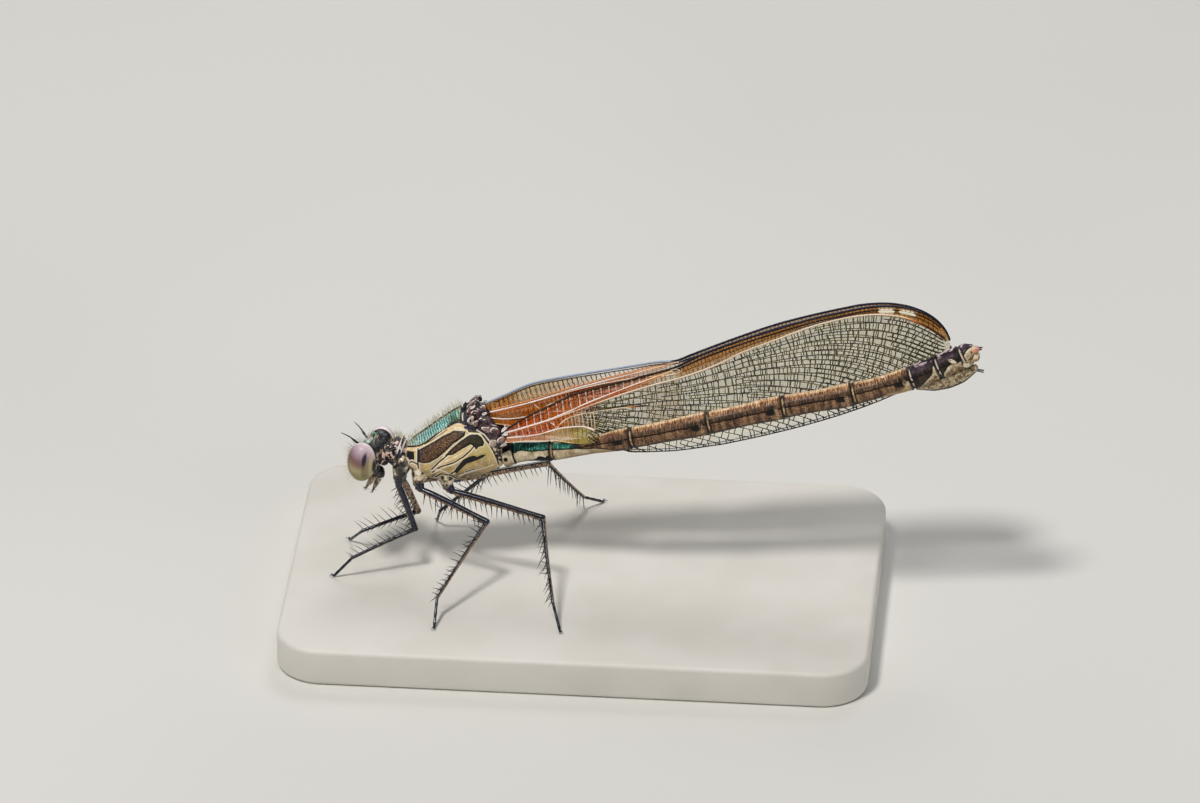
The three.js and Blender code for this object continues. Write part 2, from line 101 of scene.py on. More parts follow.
def circle(count):
    """Evenly spaced angles of one full turn."""
    return np.linspace(0, 2 * np.pi, count, endpoint=False)


def spread(values, share):
    """What evenly spaced values come to at a share of the way along them."""
    return np.interp(share, np.linspace(0, 1, len(values)), values)


def through(rows):
    """A smooth curve through rows of x and values: between rows a cubic whose end slopes are central."""
    table = np.array(rows, float)
    x, y = table[:, 0], table[:, 1:]
    slope = np.gradient(y, x, axis=0)

    def at(where):
        q = np.clip(where, x[0], x[-1])
        i = np.clip(np.searchsorted(x, q) - 1, 0, len(x) - 2)
        step = (x[i + 1] - x[i])[..., None]
        t = (q - x[i])[..., None] / step
        a = (1 + 2 * t) * (1 - t) ** 2 * y[i] + t * (1 - t) ** 2 * step * slope[i]
        b = t * t * (3 - 2 * t) * y[i + 1] + t * t * (t - 1) * step * slope[i + 1]
        return (a + b)[..., 0] if y.shape[1] == 1 else a + b

    return at


def line_distance(x, z, line):
    """Distance in a plane from each point to a line of straight stretches."""
    ends = np.array(line, float)
    a, b = ends[:-1], ends[1:]
    p = np.stack([x, z], -1)[..., None, :]
    along = np.clip(((p - a) * (b - a)).sum(-1) / ((b - a) ** 2).sum(-1), 0, 1)
    return np.linalg.norm(p - a - along[..., None] * (b - a), axis=-1).min(-1)


def inside_distance(x, z, outline):
    """Distance in a plane to a closed outline, positive inside, found by counting the sides crossed."""
    ring = np.array(outline + outline[:1], float)
    a, b = ring[:-1], ring[1:]
    run, climb = (b - a).T
    rises = (a[:, 1] > z[..., None]) != (b[:, 1] > z[..., None])
    reach = run * (z[..., None] - a[:, 1]) / np.where(climb == 0, 1e-9, climb)
    inside = (rises & (x[..., None] < reach + a[:, 0])).sum(-1) % 2 == 1
    return np.where(inside, 1, -1) * line_distance(x, z, ring)


# The frames of the body and of the head

def turn_x(angle):
    c, s = np.cos(angle), np.sin(angle)
    return np.array([[1, 0, 0], [0, c, -s], [0, s, c]])


def turn_z(angle):
    c, s = np.cos(angle), np.sin(angle)
    return np.array([[c, -s, 0], [s, c, 0], [0, 0, 1]])


BODY_HEIGHT = 8.8
BODY_TURN = turn_x(degrees(-18))
HEAD_PLACE = np.array([-13.76, -0.22, 1.38])
HEAD_TURN = turn_x(degrees(11)) @ turn_z(degrees(-18.6))


def body_to_world(points):
    return points @ BODY_TURN.T + np.array([0, 0, BODY_HEIGHT])


def head_to_world(points):
    return body_to_world(points @ HEAD_TURN.T + HEAD_PLACE)


# Surfaces

class Form:
    """Closed surfaces: points in millimetres, arrays of faces, and named values at the points."""

    def __init__(self, points, faces, values=None, uv=None):
        self.points, self.faces, self.values, self.uv = points, faces, values or {}, uv

    @staticmethod
    def join(forms):
        """Several forms as one, each one's faces counted on from the points before it."""
        faces, start = [], 0
        for form in forms:
            faces += [face + start for face in form.faces]
            start += len(form.points)
        names = sorted({name for form in forms for name in form.values})
        values = {name: np.concatenate([np.broadcast_to(form.values.get(name, 0.0), len(form.points))
                                        for form in forms]) for name in names}
        uv = np.concatenate([form.uv for form in forms]) if all(f.uv is not None for f in forms) else None
        return Form(np.concatenate([form.points for form in forms]), faces, values, uv)

    def moved(self, place):
        return Form(place(self.points), self.faces, self.values, self.uv)


def tubes(rings, values=None, uv=None):
    """Closed tubes from rings of shape (tubes, rings, sides, 3): four-sided walls, and a cap at each end.
    A tube whose signed volume is negative has its rings turned round, so that all faces point outwards."""
    count, length, sides = rings.shape[:3]
    centred = rings - rings.mean((1, 2), keepdims=True)
    a, b = centred[:, :-1], np.roll(centred[:, :-1], -1, axis=2)
    c, d = np.roll(centred[:, 1:], -1, axis=2), centred[:, 1:]
    volume = (np.cross(a, b) * c + np.cross(a, c) * d).sum((1, 2, 3))
    order = np.where(volume[:, None] >= 0, np.arange(sides), np.arange(sides)[::-1])
    index = (np.arange(count * length) * sides).reshape(count, length, 1) + order[:, None]
    ahead = np.roll(index, -1, axis=2)
    walls = np.stack([index[:, :-1], ahead[:, :-1], ahead[:, 1:], index[:, 1:]], -1).reshape(-1, 4)
    caps = np.concatenate([index[:, 0, ::-1], index[:, -1]])
    flat = {name: np.broadcast_to(value, rings.shape[:3]).ravel() for name, value in (values or {}).items()}
    return Form(rings.reshape(-1, 3), [walls, caps], flat, None if uv is None else uv.reshape(-1, 2))


def limb(path, radii, around, up=(0, 0, 1), flat=1.0, domed=True, values=None):
    """One tube along a path: each ring is the path's point plus radius times cosine and sine of the angle,
    along the axis nearest to up and the axis square to it. Domed ends shrink on a quarter circle."""
    path, radii = np.array(path, float), np.array(radii, float)
    tangent = unit(np.gradient(path, axis=0))
    side = unit(np.cross(tangent, np.array(up, float)))
    top = np.cross(side, tangent)
    if domed:
        steps = np.linspace(0, 1, 5)[:-1]
        rise, lift = np.sqrt(1 - (1 - steps) ** 2) + 0.02, 1 - steps
        first = path[0] - tangent[0] * radii[0] * lift[:, None] * 0.8
        last = path[-1] + tangent[-1] * radii[-1] * lift[::-1, None] * 0.8
        path = np.concatenate([first, path, last])
        radii = np.concatenate([radii[0] * rise, radii, radii[-1] * rise[::-1]])
        side, top = (np.concatenate([v[:1].repeat(4, 0), v, v[-1:].repeat(4, 0)]) for v in (side, top))
    angle = circle(around)
    across, upward = np.sin(angle)[None, :, None], np.cos(angle)[None, :, None]
    rings = path[:, None] + radii[:, None, None] * (top[:, None] * upward + side[:, None] * across * flat)
    share = np.linspace(0, 1, len(path))[:, None] + np.zeros(around)
    extra = {"round": np.cos(angle), "across": np.sin(angle), "share": share, **(values or {})}
    return tubes(rings[None], {name: np.broadcast_to(v, rings.shape[:2])[None] for name, v in extra.items()})


def smooth_path(points, steps):
    """Evenly counted points on a smooth curve through a few given ones."""
    points = np.array(points, float)
    run = np.concatenate([[0], np.cumsum(np.linalg.norm(np.diff(points, axis=0), axis=1))])
    return through(np.column_stack([run, points]))(np.linspace(0, run[-1], steps))


# A hair's rings: where each lies along it, and how wide it is as a share of the root's width
HAIR_SHARES = np.array([0, 0.35, 0.7, 1.0])
HAIR_WIDTHS = np.array([1, 0.8, 0.5, 0.06])
# How wide the patch is that a hair takes of the unit square of its UV map
HAIR_PATCH = 0.003


def spines(roots, directions, lengths, radius, bend, sides, uv):
    """Tapered hairs: rings from the root to the tip, each shifted along bend by the square of its share of
    the length. In the UV map each hair is a small disc around its own place."""
    middle = roots[:, None] + directions[:, None] * (lengths[:, None] * HAIR_SHARES)[..., None]
    middle = middle + bend[:, None] * (lengths[:, None] * HAIR_SHARES ** 2)[..., None]
    side = unit(np.cross(directions, np.where(np.abs(directions[:, 2:]) > 0.9, [[1.0, 0, 0]], [[0, 0, 1.0]])))
    other = np.cross(directions, side)
    spot = np.stack([np.cos(circle(sides)), np.sin(circle(sides))], -1)
    out = side[:, None] * spot[:, :1] + other[:, None] * spot[:, 1:]
    rings = middle[:, :, None] + out[:, None] * (radius * HAIR_WIDTHS)[:, None, None]
    patch = uv[:, None, None] + HAIR_PATCH / 2 * HAIR_WIDTHS[:, None, None] * spot
    return tubes(rings, {"share": HAIR_SHARES[None, :, None]}, np.clip(patch, 0, 1))


def rays(around, down, gap):
    """Unit directions in rings from pole to pole. The poles lie along Y, each a small angle from its ring."""
    polar = np.linspace(gap, np.pi - gap, down)[:, None]
    angle = circle(around)[None]
    out = np.sin(polar)
    return np.stack([out * np.cos(angle), np.cos(polar) + 0 * angle, out * np.sin(angle)], -1)


# The search for a soft-joined surface along each ray: its start, its even steps, and the halvings after them
SEARCH = {"start": 0.1, "steps": 48, "halvings": 14}


def lumps_form(lumps, around, down, soften, reach):
    """The outer surface of soft-joined ellipsoids, seen from the first one's centre: along each ray, the
    farthest place where minus k times the log of the sum of e to the minus distance over k is zero."""
    centres = np.array([lump[0] for lump in lumps], float)
    radii = np.array([lump[1] for lump in lumps], float)
    ways = rays(around, down, 0.015)

    def outside(distance):
        points = centres[0] + ways * distance[..., None]
        total = 0.0
        for centre, radius in zip(centres, radii):
            scaled = (points - centre) / radius
            gap = (np.linalg.norm(scaled, axis=-1) - 1) * radius.min()
            total = total + np.exp(-np.maximum(gap, -1.0) / soften)
        return -soften * np.log(total)

    low = np.zeros(ways.shape[:2])
    for distance in np.linspace(SEARCH["start"], reach, SEARCH["steps"]):
        trial = np.full(low.shape, distance)
        low = np.where(outside(trial) < 0, trial, low)
    high = low + (reach - SEARCH["start"]) / (SEARCH["steps"] - 1)
    for _ in range(SEARCH["halvings"]):
        middle = (low + high) / 2
        inner = outside(middle) < 0
        low, high = np.where(inner, middle, low), np.where(inner, high, middle)
    return tubes((centres[0] + ways * low[..., None])[None])


def both_sides(lumps):
    """Lumps that lie to one side, each with its mirror on the other side."""
    return [((x, side * y, z), radii) for (x, y, z), radii in lumps for side in (1, -1)]


def piece(name, form, material, nodes=(), smooth=True):
    """Puts a form into a mesh object, gives it its material, parents it to the root and hides the parts it
    stands for.
    """
    mesh = bpy.data.meshes.new(name)
    faces = [corner for array in form.faces for corner in array.tolist()]
    mesh.from_pydata((form.points * MM).tolist(), [], faces)
    mesh.polygons.foreach_set("use_smooth", np.full(len(mesh.polygons), smooth))
    for key, value in form.values.items():
        layer = mesh.attributes.new(key, "FLOAT", "POINT")
        layer.data.foreach_set("value", np.ascontiguousarray(value, np.float32))
    if form.uv is not None:
        corners = np.empty(len(mesh.loops), np.int32)
        mesh.loops.foreach_get("vertex_index", corners)
        layer = mesh.uv_layers.new(name="OFBake")
        layer.data.foreach_set("uv", form.uv[corners].astype(np.float32).ravel())
    mesh.materials.append(material)
    mesh.update()
    thing = bpy.data.objects.new(name, mesh)
    bpy.context.scene.collection.objects.link(thing)
    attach(thing, "root")
    if nodes:
        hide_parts(*nodes)
    return thing


# Shader nodes as expressions

class Wire:
    """A shader socket. Operators on it add Math nodes to its material."""

    def __init__(self, finish, socket):
        self.finish, self.socket = finish, socket

    def math(self, operation, *terms):
        return self.finish.node("ShaderNodeMath", {"operation": operation}, dict(enumerate(terms)))

    def __add__(self, other):
        return self.math("ADD", self, other)

    def __radd__(self, other):
        return self.math("ADD", other, self)

    def __sub__(self, other):
        return self.math("SUBTRACT", self, other)

    def __rsub__(self, other):
        return self.math("SUBTRACT", other, self)

    def __mul__(self, other):
        return self.math("MULTIPLY", self, other)

    def __rmul__(self, other):
        return self.math("MULTIPLY", other, self)

    def __truediv__(self, other):
        return self.math("DIVIDE", self, other)

    def __abs__(self):
        return self.math("ABSOLUTE", self)

    def highest(self, other):
        return self.math("MAXIMUM", self, other)

    def sine(self):
        return self.math("SINE", self)

    def rise(self, low, high):
        """0 below low, 1 above high, smooth between."""
        settings = {"interpolation_type": "SMOOTHSTEP", "clamp": True}
        inputs = {0: self, 1: min(low, high), 2: max(low, high), 3: float(low > high), 4: float(low < high)}
        return self.finish.node("ShaderNodeMapRange", settings, inputs)


class Finish:
    """A material, with one method that adds any node and a few short forms of it."""

    def __init__(self, name):
        self.material = bpy.data.materials.new(name)
        self.material.use_nodes = True
        self.tree = self.material.node_tree
        self.tree.nodes.clear()

    def node(self, kind, settings=None, inputs=None, output=0):
        node = self.tree.nodes.new(kind)
        for key, value in (settings or {}).items():
            setattr(node, key, value)
        for key, value in (inputs or {}).items():
            if isinstance(value, Wire):
                self.tree.links.new(value.socket, node.inputs[key])
            else:
                node.inputs[key].default_value = value
        return Wire(self, node.outputs[output])

    def value(self, name):
        return self.node("ShaderNodeAttribute", {"attribute_name": name}, output=2)

    def place(self, stretch=(1, 1, 1)):
        """Object coordinates in millimetres, each axis times its stretch."""
        spot = self.node("ShaderNodeTexCoord", output=3)
        scale = tuple(axis / MM for axis in stretch)
        return self.node("ShaderNodeVectorMath", {"operation": "MULTIPLY"}, {0: spot, 1: scale})

    def noise(self, size, detail=3.0, stretch=(1, 1, 1), at=None):
        """Noise whose marks are about size millimetres across, in the object's space or on a vector."""
        inputs = {"Vector": at or self.place(stretch), "Scale": 1 / size, "Detail": detail, "Roughness": 0.55}
        return self.node("ShaderNodeTexNoise", {}, inputs)

    def cells(self, size):
        return self.node("ShaderNodeTexVoronoi", {}, {"Vector": self.place(), "Scale": 1 / size})

    def colour(self, a, b, share):
        """From colour a to colour b by a share."""
        settings = {"data_type": "RGBA", "clamp_factor": True}
        return self.node("ShaderNodeMix", settings, {0: share, 6: paint(a), 7: paint(b)}, output=2)

    def layers(self, base, layers):
        """The base with each colour laid over it in turn, by its own share."""
        for colour, share in layers:
            base = self.colour(base, colour, share)
        return base

    def ramp(self, share, stops):
        wire = self.node("ShaderNodeValToRGB", {}, {0: share})
        elements = wire.socket.node.color_ramp.elements
        while len(elements) < len(stops):
            elements.new(0.5)
        for element, (place, colour) in zip(elements, stops):
            element.position, element.color = place, paint(colour)
        return wire

    def surface(self, colour, roughness=0.5, metallic=0.0, alpha=1.0, coat=0.0, bump=None, **fixed):
        """The shader itself. bump is a height and how many millimetres it stands."""
        inputs = {"Base Color": paint(colour), "Roughness": roughness, "Metallic": metallic, "Alpha": alpha}
        inputs.update({"Coat Weight": coat, "Coat Roughness": 0.12})
        inputs.update({name.replace("_", " "): value for name, value in fixed.items()})
        if bump is not None:
            height, depth = bump
            settings = {"Height": height, "Distance": depth * MM, "Strength": 1.0}
            inputs["Normal"] = self.node("ShaderNodeBump", {}, settings)
        shader = self.node("ShaderNodeBsdfPrincipled", {}, inputs)
        output = self.tree.nodes.new("ShaderNodeOutputMaterial")
        self.tree.links.new(shader.socket, output.inputs[0])
        return self.material


def paint(colour):
    """A hex colour or a colour property as linear light with full alpha. A wire stays as it is."""
    if isinstance(colour, Wire):
        return colour
    if isinstance(colour, str):
        parts = [int(colour[i:i + 2], 16) / 255 for i in (1, 3, 5)]
        return tuple(p / 12.92 if p <= 0.04045 else ((p + 0.055) / 1.055) ** 2.4 for p in parts) + (1.0,)
    return tuple(colour)[:3] + (1.0,)


def settings():
    return bpy.context.scene.damselfly


# Base plate

BASE_CORNER = 3.0
BASE_EDGE = 0.3


def base_form():
    """Rings of a rounded rectangle, stacked: the corner is an arc, the straight sides join the arcs,
    and the rings shrink on quarter circles at the lower and the upper edge."""
    low, high = (np.array(corner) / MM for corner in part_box("stand_base"))
    half = (high - low)[:2] / 2
    arc = np.linspace(0, np.pi / 2, 17)
    corners = [(1, 1, 0), (-1, 1, 1), (-1, -1, 2), (1, -1, 3)]

    def outline(inset):
        radius = BASE_CORNER - inset
        points = [np.column_stack([
            sx * (half[0] - BASE_CORNER) + radius * np.cos(arc + quarter * np.pi / 2),
            sy * (half[1] - BASE_CORNER) + radius * np.sin(arc + quarter * np.pi / 2),
        ]) for sx, sy, quarter in corners]
        return np.concatenate(points)

    turn = np.linspace(0, np.pi / 2, 7)
    inset = BASE_EDGE * (1 - np.sin(turn))
    lift = BASE_EDGE * (1 - np.cos(turn))
    insets = np.concatenate([inset, inset[::-1]])
    levels = np.concatenate([low[2] + lift, high[2] - lift[::-1]])
    rings = [np.column_stack([outline(i), np.full(4 * len(arc), z)]) for i, z in zip(insets, levels)]
    return tubes(np.array(rings)[None])


def base_material():
    finish = Finish("base_satin_paint")
    grain, cloud = finish.noise(0.25, 4), finish.noise(6.0, 2)
    tone = finish.colour(settings().base.colour, "#d6d1c6", cloud.rise(0.35, 0.75) * 0.5)
    return finish.surface(tone, 0.42 + grain * 0.16, bump=(grain, 0.012))


# Thorax: prothorax and chest in one skin

# Sections: place along the body, underside, back, half width, and how much the back narrows
CHEST = [
    [-13.25, 1.24, 1.74, 0.26, 0.0],
    [-13.0, 1.08, 1.96, 0.44, 0.0],
    [-12.8, 0.86, 2.06, 0.58, 0.0],
    [-12.55, 0.66, 2.18, 0.7, 0.05],
    [-12.25, 0.46, 2.42, 0.86, 0.1],
    [-11.95, 0.4, 2.56, 0.9, 0.15],
    [-11.7, 0.44, 2.42, 0.88, 0.15],
    [-11.5, 0.55, 2.22, 0.84, 0.15],
    [-11.3, 0.42, 2.36, 0.96, 0.2],
    [-10.9, 0.2, 2.68, 1.1, 0.24],
    [-10.4, 0.0, 3.05, 1.22, 0.28],
    [-9.4, -0.12, 3.84, 1.36, 0.32],
    [-8.4, -0.14, 4.52, 1.42, 0.34],
    [-7.4, 0.05, 4.9, 1.4, 0.34],
    [-6.5, 0.34, 4.5, 1.32, 0.3],
    [-5.9, 0.6, 3.75, 1.18, 0.2],
    [-5.45, 0.82, 2.9, 0.98, 0.1],
    [-5.15, 0.95, 2.4, 0.72, 0.05],
]
# Markings of a flank, in the body's x and height: where each one's edge runs
TEAL_EDGE = [
    [-11.4, 2.04], [-10.6, 2.24], [-9.6, 2.97], [-8.95, 3.42], [-8.7, 3.68], [-8.4, 3.88], [-8.0, 4.02],
]
TEAL_END = -8.12
CREAM_TOP = [[-11.5, 1.95], [-10.6, 2.16], [-8.84, 3.44], [-8.1, 3.77], [-7.75, 3.66]]
CREAM_END = -7.72
BAND_ONE = [(-10.75, 1.88), (-10.5, 2.04), (-10.02, 2.32), (-9.16, 2.9), (-8.43, 3.3), (-7.64, 3.32),
            (-7.7, 3.02), (-8.38, 2.5), (-8.88, 2.0), (-9.35, 1.55), (-9.9, 1.18), (-10.3, 1.08),
            (-10.68, 1.12), (-10.78, 1.5)]
BAND_TWO = [
    (-9.0, 1.66), (-8.5, 2.24), (-7.95, 2.72), (-7.35, 3.14), (-6.9, 3.16), (-6.62, 2.98), (-6.42, 2.66),
    (-6.5, 2.42), (-6.78, 2.36), (-6.94, 2.16), (-7.08, 2.36), (-7.3, 2.5), (-7.8, 2.2), (-8.4, 1.78),
]
# The flesh behind the chest's last side plate, where the plates at the wings' roots lie
REAR_FLESH = [
    (-7.62, 3.9), (-7.42, 3.34), (-6.7, 3.3), (-6.15, 2.6), (-5.85, 2.1), (-5.6, 1.5), (-5.2, 1.2),
    (-4.9, 3), (-6, 4.6), (-7.4, 4.8),
]
JAGGED_STREAK = [
    (-8.34, 0.58), (-8.22, 0.86), (-7.98, 1.2), (-7.75, 1.5), (-7.4, 1.7), (-7.1, 1.8), (-6.85, 1.72),
    (-6.6, 1.86), (-6.27, 1.88), (-6.5, 1.66), (-7.05, 1.4), (-7.5, 1.24), (-7.88, 0.84), (-8.14, 0.52),
]
# The lower edge of the cream stripe under the teal panel, and two more pale stripes with their half widths
CREAM_LOW = [[-11.5, 1.8], [-10.8, 1.86], [-10.02, 2.3], [-9.16, 2.88], [-8.43, 3.25], [-7.6, 3.25]]
CREAM_STRIPES = [
    ([(-8.95, 1.62), (-8.3, 2.25), (-7.5, 2.98), (-6.9, 3.28), (-6.4, 3.2)], 0.16),
    ([(-9.3, 1.1), (-8.3, 1.62), (-7.6, 2.08), (-7.14, 2.44)], 0.08),
]
FRONT_SQUARE = [(-11.5, 1.74), (-10.98, 1.78), (-10.94, 1.28), (-11.2, 1.2), (-11.48, 1.22)]
SUTURES = [
    [(-9.75, 0.5), (-9.2, 0.92), (-8.37, 1.24), (-7.75, 1.66), (-7.3, 2.1), (-7.0, 2.5)],
    [(-9.8, 0.7), (-9.25, 1.3), (-8.75, 1.75)],
    [(-10.74, 1.95), (-10.72, 1.3), (-10.66, 0.6), (-10.3, 0.3)],
    [(-7.58, 0.6), (-7.01, 0.82)],
    [(-8.9, 0.15), (-8.3, 0.62), (-8.15, 0.85)],
    [(-7.6, 3.75), (-7.45, 3.3), (-6.7, 3.27), (-6.15, 2.57), (-5.85, 2.1), (-5.6, 1.5), (-5.5, 1.1)],
    [(-6.15, 2.57), (-5.85, 2.5), (-5.5, 2.6)],
    [(-11.45, 0.95), (-11.1, 1.12), (-10.72, 0.98)],
    [(-11.5, 0.75), (-11.1, 0.62), (-10.8, 0.4)],
    [(-9.6, 0.1), (-9.2, 0.42), (-8.5, 0.3), (-8.1, 0.0)],
]
PANEL_START = -11.38
PANEL_CORNER = 0.3
CREAM_START = -11.5
# Half widths of the sutures, the pale lines and the brown line, and how far ink runs past the panel's edge
SUTURE_WIDTH = 0.045
PALE_WIDTH = 0.045
BROWN_WIDTH = 0.035
SEAM_WIDTH = 0.015
BROWN_LINE = [(-10.3, 2.28), (-9.75, 2.66), (-9.3, 2.98), (-8.9, 3.3)]
PALE_LINES = [
    [(-8.1, 0.3), (-7.2, 0.68), (-6.3, 0.95), (-5.85, 1.15)],
    [(-6.95, 3.4), (-6.45, 3.12), (-6.1, 2.7)],
    [(-8.02, 4.75), (-7.95, 4.3), (-7.9, 3.95)],
    [(-11.4, 1.1), (-11.1, 1.24), (-10.8, 1.12)],
    [(-9.7, 0.62), (-9.3, 0.72), (-8.9, 0.6), (-8.6, 0.4)],
]
# The ridge of the back: its half width and height, and the half width and lower end of its black line
CARINA = {"half": 0.1, "height": 0.08, "ink": 0.17, "above": 2}
REAR_INK = 3.8
CHEST_GRID = {"along": 280, "around": 300}
# How deep the sutures lie and how wide they are, and how high the panel and the bands stand and over how far
RELIEF = {"groove": (0.06, 0.05), "teal": (0.06, 0.18), "band": (0.03, 0.12)}
# Raised collars of the neck: place, half width and height
COLLARS = [(-12.85, 0.06, 0.08), (-12.3, 0.18, 0.09), (-11.8, 0.06, 0.17)]


def chest_form():
    """Egg-shaped sections along x: across is half width times cosine, less towards the back, up is half
    height times sine. Added to it are the ridge of the back, the collars and the grooves of the sutures."""
    share = np.linspace(0, 1, CHEST_GRID["along"])[:, None]
    angle = circle(CHEST_GRID["around"])[None]
    x = mix(CHEST[0][0], CHEST[-1][0], share) + 0 * angle
    under, back, half_width, narrowing = np.moveaxis(through(CHEST)(x), -1, 0)
    up, across = np.sin(angle), np.cos(angle)
    closing = np.sqrt(np.clip(1 - ((share - 0.5) * 2) ** 40, 1e-4, 1))
    side = across * half_width * (1 - narrowing * up) * closing
    high = (under + back) / 2 + up * (back - under) / 2 * closing
    marks = chest_marks(x, side, high)
    lift = CARINA["height"] * hump(side, 0, CARINA["half"]) * ease(up, 0.5, 0.9) * ease(x, -11.4, -11.0)
    for place, width, height in COLLARS:
        lift = lift + height * hump(x, place, width) * ease(up, -0.2, 0.5)
    depth, width = RELIEF["groove"]
    lift = lift - depth * hump(marks["groove"], 0, width)
    for mark in ("teal", "band"):
        height, width = RELIEF[mark]
        lift = lift + height * ease(marks[mark], 0, width)
    rings = np.stack([x, side + lift * across, high + lift * up], -1)
    return tubes(rings[None], {name: value[None] for name, value in marks.items()}).moved(body_to_world)


def chest_marks(x, side, high):
    """Signed distances in millimetres to the edges of the markings, positive inside them."""
    away = np.abs(side)
    cream_top, teal_edge = through(CREAM_TOP)(x), through(TEAL_EDGE)(x)
    corner = [np.maximum(PANEL_CORNER - gap, 0) for gap in (TEAL_END - x, away - CARINA["ink"])]
    teal = np.minimum.reduce([high - teal_edge, x - PANEL_START, PANEL_CORNER - np.hypot(*corner)])
    cream_low = through(CREAM_LOW)(x)
    cream = np.minimum.reduce([cream_top - high, CREAM_END - x, x - CREAM_START, high - cream_low])
    for line, half in CREAM_STRIPES:
        cream = np.maximum(cream, half - line_distance(x, high, line))
    band = np.maximum(inside_distance(x, high, BAND_ONE), inside_distance(x, high, BAND_TWO))
    groove, to_pale = (np.min([line_distance(x, high, line) for line in lines], axis=0)
                       for lines in (SUTURES, PALE_LINES))
    shapes = [inside_distance(x, high, outline) for outline in (JAGGED_STREAK, FRONT_SQUARE)]
    seam = np.minimum(high - cream_top, teal_edge - high) + SEAM_WIDTH
    ridge = np.minimum(CARINA["ink"] - away, high - CARINA["above"])
    rear = np.minimum(x - TEAL_END, high - REAR_INK)
    ink = np.maximum.reduce([SUTURE_WIDTH - groove, *shapes, seam, ridge, rear])
    brown = BROWN_WIDTH - line_distance(x, high, BROWN_LINE)
    flesh = inside_distance(x, high, REAR_FLESH)
    return {"teal": teal, "cream": cream, "band": band, "ink": np.clip(ink, -1, 1), "flesh": flesh,
            "pale": PALE_WIDTH - to_pale, "groove": groove, "brown": brown, "x": x, "high": high}


